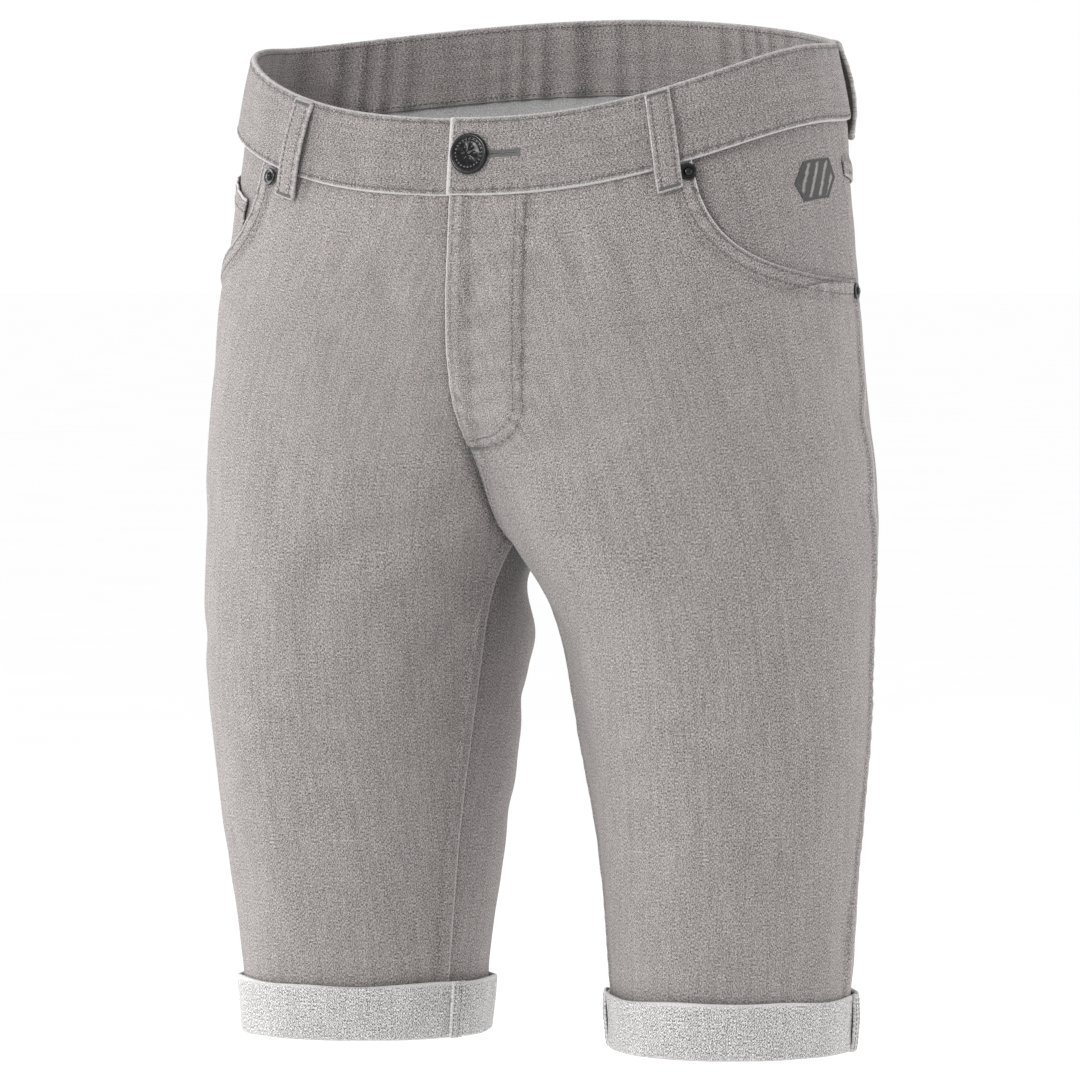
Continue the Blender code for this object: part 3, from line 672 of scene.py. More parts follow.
def edge_worn(turns, **edges):
    """1 at the folded edges of a grid, dying away over the first columns.

    low, high: which rows of that edge are folded, 1 or 0.
    """
    worn = np.zeros(turns.shape)
    for edge, rows in edges.items():
        for step, amount in enumerate((1.0, 0.2)):
            column = step if edge == "low" else -1 - step
            worn[:, column] = np.maximum(worn[:, column], amount * rows)
    return worn


def fold_at_foot(worn):
    """A worn fold along the last rows of a grid."""
    worn[-1] = 0.6
    worn[-2] = np.maximum(worn[-2], 0.3)


def under_band(drop, depth):
    """How far a panel sinks where it runs in under the waistband."""
    return depth * fall(-1 * MM, 5 * MM, drop)


def front_panel(side, materials):
    """Front of one leg, from under the waistband into the turned-up hem."""
    drops = np.concatenate([
        sine_steps(-TUCK, POCKET_DROP - 0.3 * MM, 40, 0.75),
        sine_steps(POCKET_DROP + 0.6 * MM, CROTCH_DROP - 0.3 * MM, 66, 0.7),
        np.linspace(CROTCH_DROP + 0.6 * MM, PANEL_END, 106)])
    above_crotch = drops < CROTCH_DROP
    middle = rise_turn(np.minimum(drops, CROTCH_DROP - 0.1 * MM), True, REACH[side])
    low = np.where(above_crotch, middle, inseam(drops) - 360)
    low = np.maximum(low, inseam(drops) - 360)
    high = np.where(drops < POCKET_DROP, pocket_turn(np.maximum(drops, 0)), side_seam(drops))
    turns, drop = level_rows(low, high, drops, columns(104))
    base = form(turns, drop)
    over = [("inseam", 7 * MM, 0.4), ("side_low", 6 * MM, 0.8), ("pocket", 9.5 * MM, 1.1)]
    flat = [("waist", 9 * MM, 1.0)]
    rows = ["pocket"]
    if side > 0:
        over.append(("rise_front", 9 * MM, 0.45))
        flat.append(("fly", 11 * MM, 0.9))
        rows += ["rise_front", "fly"]
    else:
        flat.append(("rise_front", 9 * MM, 0.6))
    lift, wear_and_shade = seam_lift(base, over, flat, rows)
    lift += body_lift(base, drop, side) - under_band(drop, 1.3 * MM)
    from_rise = distance_to("rise_front", base)
    if side > 0:
        wrinkles = fly_lift(base, drop, from_rise)
        lift += wrinkles
        # Painted shade in the troughs of the fly's wrinkles, paler on their crests
        wear_and_shade += 0.28 * (wrinkles / FLY_STANDS - 1.0) * (wrinkles > 0.01 * MM)
    else:
        # The right front lies under the left one's fly and sinks beside its edge, where painted shade
        # darkens it
        in_fly = fall(FLY_DROP - CM, FLY_DROP + 0.4 * CM, drop)
        lift -= 2.9 * MM * fall(5 * MM, 26 * MM, from_rise) * in_fly
        lift -= 0.9 * MM * fall(0, 6 * MM, from_rise) * (1 - in_fly)
        wear_and_shade -= 2.4 * fall(0, 9 * MM, from_rise)
    worn = edge_worn(turns, high=1.0, low=1.0 if side > 0 else ~above_crotch)
    return panel("front_" + SIDE_NAME[side], side, turns, drop, lift, wear_and_shade, worn, materials)


def fly_lift(base, drop, from_rise):
    """The fly's facing makes the cloth over it stand out, with short wrinkles across it."""
    inside = (from_rise < FLY_WIDTH * 1.02) & (drop < FLY_DROP)
    ridge = smooth(0, 5 * MM, distance_to("fly", base)) * inside
    wrinkles = np.sin(drop / (2.3 * CM) * 2 * math.pi + base[..., 0] / (1.5 * CM) * 2.6
                      + 2.2 * np.sin(drop / (2.1 * CM)) + 1.2 * waves(base, 2.4 * CM, 91))
    calm = smooth(0.5 * CM, 2 * CM, drop) * smooth(2 * MM, 14 * MM, from_rise)
    return ridge * (FLY_STANDS + 0.55 * MM * wrinkles * calm)


def back_panel(side, materials):
    """Back of one leg, from under the yoke into the turned-up hem."""
    share = columns(110)
    at_back = np.concatenate([
        sine_steps(YOKE_AT_BACK - UNDERLAP, CROTCH_DROP - 0.3 * MM, 78, 0.7),
        np.linspace(CROTCH_DROP + 0.6 * MM, PANEL_END, 106)])
    down = (at_back - at_back[0]) / (at_back[-1] - at_back[0])
    top = YOKE_AT_SIDE - UNDERLAP + (YOKE_AT_BACK - YOKE_AT_SIDE) * share
    drop = top + down[:, None] * (PANEL_END - top)
    low = side_seam(drop) - float(degrees_for(UNDERLAP, 100.0, 20 * CM))
    above_crotch = at_back < CROTCH_DROP
    middle = rise_turn(np.minimum(at_back, CROTCH_DROP - 0.1 * MM), False, REACH[side])
    high = np.where(above_crotch, np.minimum(middle, 270.0), inseam(at_back) + 2.4)[:, None]
    turns = between(low, high, share)
    base = form(turns, drop)
    flat = [("inseam", 7 * MM, 0.5), ("side_low", 8 * MM, 0.7), ("yoke", 8 * MM, 0.8)]
    over = [("rise_back", 9 * MM, 0.9)] if side > 0 else []
    lift, wear_and_shade = seam_lift(base, over, flat, ["rise_back"] if side > 0 else [])
    lift += body_lift(base, drop, side)
    # Painted shade: the cloth between the legs is darkened where deep shadow falls
    from_crotch = np.linalg.norm(base - form(270.0, CROTCH_DROP), axis=-1)
    wear_and_shade -= 2.8 * bell(from_crotch, 5 * CM)
    for name in ("yoke", "inseam", "side_low") + (() if side > 0 else ("rise_back",)):
        lift -= 0.5 * MM * fall(0, 5 * MM, distance_to(name, base))
    worn = edge_worn(turns, high=above_crotch if side > 0 else 0.0)
    return panel("back_" + SIDE_NAME[side], side, turns, drop, lift, wear_and_shade, worn, materials)


def yoke(side, materials):
    """Yoke between the waistband and the back of one leg, folded over that back."""
    share = columns(86)
    down = np.concatenate([np.linspace(0, 0.95, 26), [0.975, 0.99, 1.0]])
    bottom = between(YOKE_AT_SIDE, YOKE_AT_BACK, share)
    drop = between(-TUCK, bottom, down[:, None])
    low = side_seam(drop) - float(degrees_for(UNDERLAP, 98.0, 2 * CM))
    turns = between(low, rise_turn(drop, False, REACH[side]), share)
    base = form(turns, drop)
    over = [("yoke", 9 * MM, 0.9)] + ([("rise_back", 9 * MM, 0.8)] if side > 0 else [])
    flat = [("waist", 9 * MM, 0.9), ("side_high", 8 * MM, 0.7)]
    lift, wear_and_shade = seam_lift(base, over, flat, ["yoke"])
    lift += body_lift(base, drop, side) - under_band(drop, 0.7 * MM)
    if side < 0:
        lift -= 0.7 * MM * fall(0, 6 * MM, distance_to("rise_back", base))
    worn = edge_worn(turns, high=float(side > 0))
    fold_at_foot(worn)
    return panel("yoke_" + SIDE_NAME[side], side, turns, drop, lift, wear_and_shade, worn, materials)


def facing_lift(turns, drop):
    """The pocket's facing lies under the opening and comes up to the side seam."""
    near_seam = smooth(22, 2, side_seam(drop) - turns)
    return -2.6 * MM + 2.4 * MM * near_seam


def pocket_facing(side, materials):
    """The denim that shows inside a front pocket."""
    drops = np.linspace(-TUCK, POCKET_DROP + 8 * MM, 46)
    opening = pocket_turn(np.clip(drops, 0, POCKET_DROP * 0.995))
    turns, drop = level_rows(opening - 8, side_seam(drops) - 0.2, drops, columns(50))
    base = form(turns, drop)
    lift, wear_and_shade = seam_lift(base, (), [("side_high", 8 * MM, 0.8), ("waist", 9 * MM, 0.8)])
    lift += body_lift(base, drop, side) + facing_lift(turns, drop)
    lift -= under_band(drop, 0.8 * MM) * smooth(20, 2, side_seam(drop) - turns)
    # Painted shade beside the front's folded edge, and the whole facing a little darker
    wear_and_shade -= 0.4 + bell(turns - opening[:, None], 1.6)
    return panel("pocket_facing_" + SIDE_NAME[side], side, turns, drop, lift, wear_and_shade,
                 edge_worn(turns, high=1.0), materials)


def coin_pocket(materials):
    """Small pocket on the wearer's right facing, hemmed along its top."""
    at = np.linspace(0, 2, 40)
    knots = np.arange(3)
    drops = np.interp(at, knots, (COIN_POCKET_TOP, 6 * CM, 9 * CM))
    low, high = np.interp(at, knots, (50, 52, 70)), np.interp(at, knots, (91, 92, 93))
    turns, drop = level_rows(low, high, drops, columns(44))
    lift = facing_lift(turns, drop) + body_lift(form(turns, drop), drop, -1) + 1.3 * MM
    from_top = drop - COIN_POCKET_TOP
    lift += 0.9 * MM * fall(9 * MM, 13 * MM, from_top)
    phase = np.cumsum(np.ones_like(turns), axis=1) * 0.9
    lift += 0.25 * MM * np.sin(phase) * bell(from_top, 9 * MM)
    worn = bell(from_top, 1.2 * MM)
    return panel("coin_pocket", -1, turns, drop, lift, worn * 0.5, worn, materials)


def back_pocket(side, materials):
    """Patch pocket with a turned top, pointed at its foot."""
    share = columns(60)
    down = np.concatenate([np.linspace(0, 0.96, 62), [0.98, 0.992, 1.0]])[:, None]
    top = between(*POCKET_TOP, share) * CM
    bottom = (21.4 + 2.6 * (1 - np.abs(2 * share - 1))) * CM
    drop = between(top, bottom, down)
    turns = between(POCKET_LOW + POCKET_LOW_IN * down, POCKET_HIGH - POCKET_HIGH_IN * down, share)
    edge = np.minimum(np.minimum(share, 1 - share) * 11 * CM, (1 - down) * 13 * CM)
    from_top = drop - top
    lift = body_lift(form(turns, drop), drop, side) + 1.5 * MM
    lift += 0.8 * MM * fall(7 * MM, 11 * MM, edge) + 1.0 * MM * fall(20 * MM, 24 * MM, from_top)
    lift += 0.9 * MM * bell(from_top - 6 * MM, 14 * MM)
    phase = (turns * 1.9 * MM + drop) / (8.5 * MM) * 2 * math.pi
    ripple = np.sin(phase + 1.5 * np.sin(drop / (2.3 * CM) + turns / 9))
    lift += 0.28 * MM * ripple * bell(edge, 8 * MM)
    worn = edge_worn(turns, low=1.0, high=1.0)
    worn[0] = 0.6
    worn[1] = np.maximum(worn[1], 0.2)
    fold_at_foot(worn)
    # Paler and darker with the ripples beside the edges: wear and painted shade
    return panel("back_pocket_" + SIDE_NAME[side], side, turns, drop, lift,
                 0.5 * ripple * bell(edge, 6 * MM), worn, materials)


# Waistband

def band_base(turn):
    """Place and outward normal on the waist seam at turns round the whole body."""
    turn = np.asarray(turn, float) % 360
    mirrored = turn > 180
    half = np.where(mirrored, 360 - turn, turn)
    flip = np.where(mirrored, -1.0, 1.0)
    base = form(half, np.zeros(half.shape))
    across = form(half + 0.5, np.zeros(half.shape)) - form(half - 0.5, np.zeros(half.shape))
    out = unit(np.cross((0.0, 0.0, -1.0), across))
    out[..., 2] = BAND_LEAN * WAIST_DEPTH / BAND_HEIGHT
    out = unit(out)
    base[..., 0] *= flip
    out[..., 0] *= flip
    return base, out


def band_point(turn, rise, off):
    """Point of the waistband at a rise over the waist seam, off the form."""
    base, out = band_base(turn)
    rise, off = np.broadcast_arrays(np.asarray(rise, float), np.asarray(off, float))
    lean = (1 - BAND_LEAN * rise / BAND_HEIGHT)[..., None]
    point = base * np.concatenate([lean, lean, np.ones_like(lean)], -1)
    point = point + out * off[..., None]
    point[..., 2] += rise
    return point

BAND_TURNS = np.linspace(-0.9, 373.0, 500)
BAND_LENGTH = lengths_along(band_point(BAND_TURNS, np.zeros(500), np.zeros(500)))


def band_waves(turn, period, seed):
    """Uneven gathers round the band."""
    s = np.interp(turn, BAND_TURNS, BAND_LENGTH)
    phase = 2 * math.pi * s / period + 2.0 * np.sin(s / (13 * MM) + seed) + np.sin(s / (29 * MM))
    return np.sin(phase) * (0.7 + 0.3 * np.sin(s / (21 * MM) + seed))


def band_under(turn):
    """0 where the band shows, 1 where its right end lies under the left one."""
    return smooth(346, 358, turn)


def band_off(turn, rise, outside):
    """How far a face of the band stands off the waist seam's form."""
    share = np.clip(rise / BAND_HEIGHT, 0, 1)
    low = bell(rise, 7 * MM)
    high = bell(BAND_HEIGHT - rise, 6 * MM)
    middle = np.sin(math.pi * share)
    if outside:
        off = BAND_OUT - 0.5 * MM * share
        off = off + 0.30 * MM * low * band_waves(turn, 8.0 * MM, 0.4)
        off = off + 0.22 * MM * high * band_waves(turn, 10.0 * MM, 2.1)
        off = off + 0.40 * MM * band_waves(turn, 43 * MM, 1.2) * middle
        off = off + 0.34 * MM * band_waves(turn + 9.0 * share, 21 * MM, 4.0) * middle
        return off - 4.2 * MM * band_under(turn)
    middle = np.sqrt(np.clip(middle, 0, 1))
    off = BAND_IN + 2.0 * MM * share
    off = off + 1.15 * MM * band_waves(turn, 17 * MM, 3.0) * (0.6 * middle + 0.6 * low)
    off = off + 0.35 * MM * high * band_waves(turn, 11 * MM, 5.0)
    return off - 3.2 * MM * band_under(turn)


def waistband(material):
    """One strip round the waist, with its left end over the right one."""
    low_rows = [0.0, 0.35, 0.9, 1.5, 2.1, 2.7, 3.4]
    high_rows = [37.6, 38.3, 38.9, 39.5, 40.1, 40.65, 41.0]
    rises = np.concatenate([low_rows, np.linspace(4.6, 36.4, 18), high_rows]) * MM
    turn, rise = np.meshgrid(BAND_TURNS, rises, indexing="ij")
    from_top = BAND_HEIGHT - rise
    shave = 0.5 * MM * fall(0, 1.6 * MM, np.minimum(rise, from_top))
    outer = band_point(turn, rise, band_off(turn, rise, True) - shave)
    inner = band_point(turn, rise, band_off(turn, rise, False) + shave)
    low = bell(rise, 6 * MM)
    # Paler on the crests of the band's gathers and darker in their troughs (wear and painted shade),
    # and the whole band a little darker
    wear_and_shade = 0.9 * low * band_waves(turn, 8.0 * MM, 0.4) - 0.4
    wear_and_shade += 0.8 * bell(from_top, 6 * MM) * band_waves(turn, 10.0 * MM, 2.1)
    # Painted shade in the channels of the two stitch rows
    for row in (2.4 * MM, BAND_HEIGHT - 2.4 * MM):
        wear_and_shade -= bell(rise - row, 0.9 * MM)
    # Inside, paler on the puckers' crests and darker in their troughs (wear and painted shade), and
    # the whole inside a little paler
    pucker = band_waves(turn, 17 * MM, 3.0)
    inner_wear_and_shade = 0.3 + 1.2 * pucker * (0.5 + low) - 1.6 * np.clip(-pucker - 0.35, 0, 1)
    worn = bell(rise, 0.5 * MM) + 0.7 * bell(from_top, 0.5 * MM)
    worn[0] = 1.0
    worn[1] = np.maximum(worn[1], 0.25)
    plan = np.stack([rise, np.interp(turn, BAND_TURNS, BAND_LENGTH)], -1)
    piece = closed_sheet("waistband_cloth", outer, inner, [material], wear_and_shade, worn, 1, plan, inner_wear_and_shade)
    replace(piece, "waistband")
    return piece


# Cuffs

def cuff_profile():
    """Points round the turned-up hem's section: distance off the leg, height over its foot."""
    out, inside = CUFF_OUT, -CLOTH - 0.4 * MM
    top, gap = CUFF_DEPTH, 0.9 * MM
    points = [(gap, 2.0 * MM), (gap, top * 0.5), (gap + 0.1 * MM, top - 1.6 * MM)]
    radius = (out - gap) / 2
    for angle in np.linspace(math.pi, 0, 7):
        points.append((gap + radius + radius * math.cos(angle),
                       top - radius + radius * math.sin(angle)))
    for height in np.linspace(top - 2.6 * MM, 3.2 * MM, 15):
        points.append((out, height))
    radius = (out - inside) / 2
    for angle in np.linspace(0, -math.pi, 9):
        points.append((inside + radius + radius * math.cos(angle),
                       radius * 0.8 + radius * 0.8 * math.sin(angle)))
    points += [(inside, 3.2 * MM), (inside + 0.9 * MM, 2.6 * MM)]
    return np.array(points)


def cuff_flare(turn, height, side):
    """The turned-up hem stands off the leg unevenly, more at its top edge."""
    angle = np.radians(turn)
    top = smooth(0.5 * CM, CUFF_DEPTH, height)
    sway = 0.5 + 0.5 * np.cos(2 * angle + (0.5 if side > 0 else 2.2))
    rise = 1.0 + 0.6 * np.cos(angle * 3 + 0.7 * side)
    return 1.1 * MM * sway * rise + 1.5 * MM * top * sway + 0.25 * MM * np.sin(angle * 11 + side)


def cuff(side, material):
    """Turned-up hem of one leg."""
    profile = cuff_profile()
    turn, off = np.meshgrid(np.linspace(-90, 270, 241), profile[:, 0], indexing="ij")
    height = np.broadcast_to(profile[:, 1], turn.shape)
    outside = smooth(-0.5 * MM, 1.5 * MM, off)
    off = off + outside * cuff_flare(turn, height, side)
    angle = np.radians(turn)
    wave = 0.7 * MM * np.sin(3 * angle + 0.8 * side) + 0.5 * MM * np.sin(7 * angle + 2.0)
    height = height + wave * (height / CUFF_DEPTH - 0.15)
    drop = HEM_DROP - height
    out = normals(turn, drop)
    points = form(turn, drop) + out * off[..., None]
    points += out * (0.35 * MM * waves(points, 2.6 * CM, 71 + side) * outside)[..., None]
    piece = ring_mesh("cuff_" + SIDE_NAME[side] + "_cloth", points, material, side, height)
    replace(piece, "cuff_" + SIDE_NAME[side])
    return piece


def ring_mesh(name, points, material, side, height):
    """Closed ring from points[around, profile]; the last row around repeats the first."""
    around, size = points.shape[0] - 1, points.shape[1]
    index = np.arange(around * size).reshape(around, size)
    ahead = np.roll(index, -1, 0)
    faces = np.stack([index, ahead, np.roll(ahead, -1, 1), np.roll(index, -1, 1)], -1)
    piece = make_piece(name, points[:-1].reshape(-1, 3) * (side, 1, 1),
                       faces.reshape(-1, 4).tolist(), [material])
    along = lengths_along(points[:, size // 2])
    girth = lengths_along(points[0])
    girth = np.append(girth, girth[-1] + MM)
    ring_u = np.stack([along[:-1], along[1:], along[1:], along[:-1]], 1)[:, None, :]
    ring_v = np.stack([girth[:-1], girth[:-1], girth[1:], girth[1:]], 1)[None]
    plan = np.stack(np.broadcast_arrays(ring_u, ring_v), -1)
    layer = piece.data.uv_layers.new(name="cloth")
    layer.data.foreach_set("uv", plan.astype(np.float32).ravel())
    flat = height[:-1].ravel()
    edge = bell(flat - CUFF_DEPTH, 1.2 * MM) + bell(flat, 1.0 * MM)
    add_attribute(piece.data, "worn", np.clip(edge, 0, 1))
    turn_outward(piece.data)
    return piece


def cuff_sway(height, side):
    """Degrees by which the bound seam edge wanders on the turned-up hem."""
    return 0.35 * np.sin(height / (7 * MM) + side)


def cuff_allowance(side, seam_name, middle_turn, materials):
    """The bound seam edge on the turned-up hem: a strip that bulges off the cuff."""
    name = "cuff_" + seam_name + "_" + SIDE_NAME[side]
    heights = np.linspace(0.6 * MM, CUFF_DEPTH + 0.3 * MM, 32)
    height, share = np.meshgrid(heights, np.linspace(-1, 1, 13), indexing="ij")
    drop = HEM_DROP - height
    turn = middle_turn + share * degrees_for(CUFF_STRIP_HALF, middle_turn, HEM_DROP)
    turn = turn + cuff_sway(height, side)
    bulge = 1.4 * MM * np.sin(math.pi * np.clip(height / CUFF_DEPTH, 0, 1)) ** 0.6
    off = CUFF_OUT + cuff_flare(turn, height, side) + CUFF_STRIP + bulge
    off = off - 0.9 * MM * share ** 4 + 0.2 * MM * np.sin(height / (2.4 * MM)) * (1 - share ** 2)
    out = normals(turn, drop)
    outer = form(turn, drop) + out * off[..., None]
    worn = np.clip(0.8 * np.abs(share) ** 8, 0, 1)
    piece = closed_sheet(name + "_cloth", outer, outer - out * CUFF_STRIP, materials,
                         np.zeros_like(share), worn, side)
    replace(piece, name)
    return piece


# Belt loops

def loop_path(turn, share):
    """Rise and standing-off of a belt loop along its length, 0 at the top and 1 below."""
    rise = BAND_HEIGHT - 1.0 * MM - share * LOOP_LENGTH
    bow = np.sin(math.pi * np.clip(share * 1.04, 0, 1)) ** 0.8
    off = BAND_OUT + 0.5 * MM + (3.0 * MM if abs(turn) < 60 else 4.2 * MM) * bow
    return rise, off


def loop_sway(turn, share):
    """Degrees by which a loop leans out of the upright, and bends a little."""
    lean = 1.8 if abs(turn) < 60 else 0.4
    return lean * (share - 0.5) + 0.25 * np.sin(share * 3.0 + turn)


def body_bearing(point):
    """Angle of a point round the middle axis, from the front."""
    return np.arctan2(point[..., 0], -point[..., 1]) % (2 * math.pi)


def loop_place(turn, rise, off):
    """Point beside the band, or off the panels straight below it."""
    on_band = band_point(turn, np.maximum(rise, 0), off)
    drop = np.maximum(-rise, 0)
    bearing = body_bearing(band_base(turn)[0])
    place = solve(lambda t: body_bearing(form(t, drop)) - bearing, turn - 25.0, turn + 12.0)
    below = form(place, drop) + normals(place, drop) * off[..., None]
    return np.where((rise > 0)[..., None], on_band, below)


def belt_loop(name, turn, material):
    """Folded strip that bows off the waistband between its sewn ends."""
    side = -1 if turn < 0 else 1
    turn = abs(turn)
    across = np.array([-1, -0.97, -0.9, -0.78, -0.6, -0.4, -0.2, 0, 0.2, 0.4, 0.6, 0.78, 0.9, 0.97, 1])
    share, place = np.meshgrid(np.linspace(0, 1, 60), across, indexing="ij")
    from_middle = np.abs(place)
    rise, off = loop_path(turn, share)
    ends = np.minimum(share, 1 - share) * LOOP_LENGTH
    thick = 2.3 * MM + 0.9 * MM * fall(3 * MM, 6 * MM, ends)
    channel = bell(from_middle - 0.62, 0.12)
    ripple = np.sin(share * 38 + place * 1.5) * from_middle ** 2
    crown = 0.45 * MM * (1 - from_middle ** 3) - 0.35 * MM * channel + 0.16 * MM * ripple
    at = turn + float(degrees_for(LOOP_HALF, turn, 0.0)) * place + loop_sway(turn, share)
    outer = loop_place(at, rise, off + thick * 0.5 + crown)
    inner = loop_place(at, rise, off - thick * 0.5 + 0.1 * MM)
    worn = 0.6 * np.clip(from_middle ** 30 + bell(ends, 0.7 * MM), 0, 1)
    # Paler at the edges and on the ripples' crests (wear), painted shade in the stitch channel and the
    # ripples' troughs
    wear_and_shade = 0.6 * ripple + 0.6 * from_middle ** 8 - 0.9 * channel
    piece = closed_sheet(name + "_cloth", outer, inner, [material], wear_and_shade, worn, side)
    replace(piece, name)
    return piece


# Stitches

def surface_of(piece):
    """A piece's mesh as a tree that lines are cast at."""
    mesh = piece.data
    points = np.empty(len(mesh.vertices) * 3, np.float32)
    mesh.vertices.foreach_get("co", points)
    faces = [tuple(face.vertices) for face in mesh.polygons]
    return BVHTree.FromPolygons([tuple(p) for p in points.reshape(-1, 3).tolist()], faces)


def beside(name, offset, first=0.0, last=1.0):
    """A line beside a seam: offset above zero lies at the greater turns, or above it."""
    seam = SEAMS[name]
    share = seam.along / seam.along[-1]
    keep = (share >= first) & (share <= last)
    return (seam.points + seam.across * offset)[keep], seam.out[keep]


def cast(surface, points, out, far=12 * MM):
    """Points and normals where the lines inwards through the points meet the surface."""
    hits, faces = [], []
    for point, way in zip(points, out):
        hit, normal, _, _ = surface.ray_cast(Vector(point + way * far), Vector(-way), far * 3)
        if hit is None:
            hit, normal, _, _ = surface.find_nearest(Vector(point))
        if normal.dot(Vector(way)) < 0:
            normal = -normal
        hits.append(hit)
        faces.append(normal)
    return np.array(hits), np.array(faces)


def at_lengths(values, along, at):
    """Rows of values at these lengths along a line."""
    return np.stack([np.interp(at, along, values[:, k]) for k in range(3)], 1)


def stitch_row(surface, points, out, side=1, pitch=STITCH, filled=0.80, sink=0.0):
    """Starts, ends and normals of the stitches along a line cast onto a surface."""
    flip = (side, 1, 1)
    along = lengths_along(points)
    count = max(1, int(along[-1] / pitch))
    step = along[-1] / count
    begin = np.arange(count) * step
    pairs = []
    for at in (begin, begin + step * filled):
        way = unit(at_lengths(out, along, at) * flip)
        hits, faces = cast(surface, at_lengths(points, along, at) * flip, way)
        pairs.append((hits - faces * sink, faces))
    return pairs[0][0], pairs[1][0], unit(pairs[0][1] + pairs[1][1])


def satin(surface, points, out, width, side=1, pitch=0.55 * MM):
    """Close stitches across a line, as in a bar tack or a buttonhole."""
    flip = np.array((side, 1, 1))
    along = lengths_along(points)
    at = np.arange(0, along[-1], pitch)
    place = at_lengths(points, along, at)
    way = unit(at_lengths(out, along, at))
    tangent = unit(np.gradient(place, axis=0))
    reach = unit(np.cross(way, tangent)) * width / 2 + tangent * pitch * 0.5
    ends = [cast(surface, (place + reach * share) * flip, way * flip) for share in (-1, 1)]
    return ends[0][0], ends[1][0], unit(ends[0][1] + ends[1][1])


# Rings of one stitch: place along it, width, and height over the cloth, in thread thicknesses
STITCH_RINGS = ((-0.5, 0.35, -1.3), (-0.36, 0.95, -0.25), (0.0, 1.0, 0.12),
                (0.36, 0.95, -0.25), (0.5, 0.35, -1.3))
STITCH_SIDES = 6


def thread_mesh(name, rows, material, thread=THREAD):
    """One mesh of many stitches: each is a short arched length of thread."""
    start, end, out = (np.concatenate([row[k] for row in rows]) for k in range(3))
    along = end - start
    across = unit(np.cross(out, along))
    rings = []
    for at, wide, high in STITCH_RINGS:
        middle = (start + end) / 2 + along * at + out * thread * high
        for corner in range(STITCH_SIDES):
            angle = 2 * math.pi * corner / STITCH_SIDES
            rings.append(middle + thread * wide * (1.25 * across * math.cos(angle)
                                                   + out * math.sin(angle)))
    caps = np.array([(0, 1, 2, 3), (0, 3, 4, 5)])
    faces = np.concatenate([ring_faces(len(STITCH_RINGS), STITCH_SIDES), caps,
                            caps + len(rings) - STITCH_SIDES])
    faces = faces[None] + (np.arange(len(start)) * len(rings))[:, None, None]
    piece = make_piece(name, np.stack(rings, 1).reshape(-1, 3), faces.reshape(-1, 4).tolist(),
                       [material])
    turn_outward(piece.data)
    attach(piece, "root")


def form_line(points):
    """A line on the form through (turn, drop in centimetres) places."""
    path = np.array(points, float)
    at = np.linspace(0, len(path) - 1, 40 * len(path))
    turn = np.interp(at, np.arange(len(path)), path[:, 0])
    drop = np.interp(at, np.arange(len(path)), path[:, 1]) * CM
    return form(turn, drop), normals(turn, drop)


# Bar tacks at the two ends of a front pocket's opening: turn and drop in centimetres
POCKET_TACKS = (((43.6, 1.5), (47.0, 2.2)), ((96.0, 8.35), (101.5, 8.45)))


def panel_stitches(side, cloth):
    """Rows on one half: fronts, yoke, back and pockets."""
    name = SIDE_NAME[side]
    surface = {kind: surface_of(cloth[kind + "_" + name])
               for kind in ("front", "back", "yoke", "pocket_facing", "back_pocket")}
    pairs = [("front", "pocket", 0.02, 0.97), ("yoke", "yoke", 0.02, 0.985)]
    if side > 0:
        pairs += [("front", "fly", 0.02, 0.97), ("yoke", "rise_back", 0.01, ROWS_MEET),
                  ("back", "rise_back", ROWS_MEET, 0.98)]
    rows = [stitch_row(surface["front"], *beside("inseam", 5 * MM, 0.01, 0.985), side,
                       filled=0.7, sink=0.25 * MM),
            stitch_row(surface["pocket_facing"], *beside("side_high", -2.2 * MM, 0.03, 0.92), side)]
    for kind, seam, first, last in pairs:
        for offset in ROWS[seam]:
            rows.append(stitch_row(surface[kind], *beside(seam, offset, first, last), side))
    for tack in POCKET_TACKS:
        rows.append(satin(surface["front"], *form_line(tack), TACK, side, CLOSE))
    if side > 0:
        rows += fly_foot_stitches(surface["front"])
    else:
        coin = surface_of(cloth["coin_pocket"])
        for below in (0.17, 0.76):
            line = form_line([(turn, COIN_POCKET_TOP / CM + below) for turn in (51, 64, 78, 90)])
            rows.append(stitch_row(coin, *line, side))
    return rows + back_pocket_stitches(surface["back_pocket"], side)


def fly_foot_stitches(front):
    """The rows from the fly's foot down to the crotch, and the bar tack at the foot."""
    rise = SEAMS["rise_front"]
    low = nearest(SEAMS["fly"].points[-1:], rise.points)[1][0]
    low = rise.along[low] / rise.along[-1]
    rows = []
    for offset, first in zip(ROWS["rise_front"], (low + 0.01, low + 0.03)):
        rows.append(stitch_row(front, *beside("rise_front", offset, first, 0.97)))
    turn = float(rise_turn(FLY_DROP, True))
    foot = form_line(((turn + 0.6, FLY_DROP / CM - 0.1), (turn + 5.4, FLY_DROP / CM)))
    rows.append(satin(front, *foot, 2.2 * MM))
    return rows


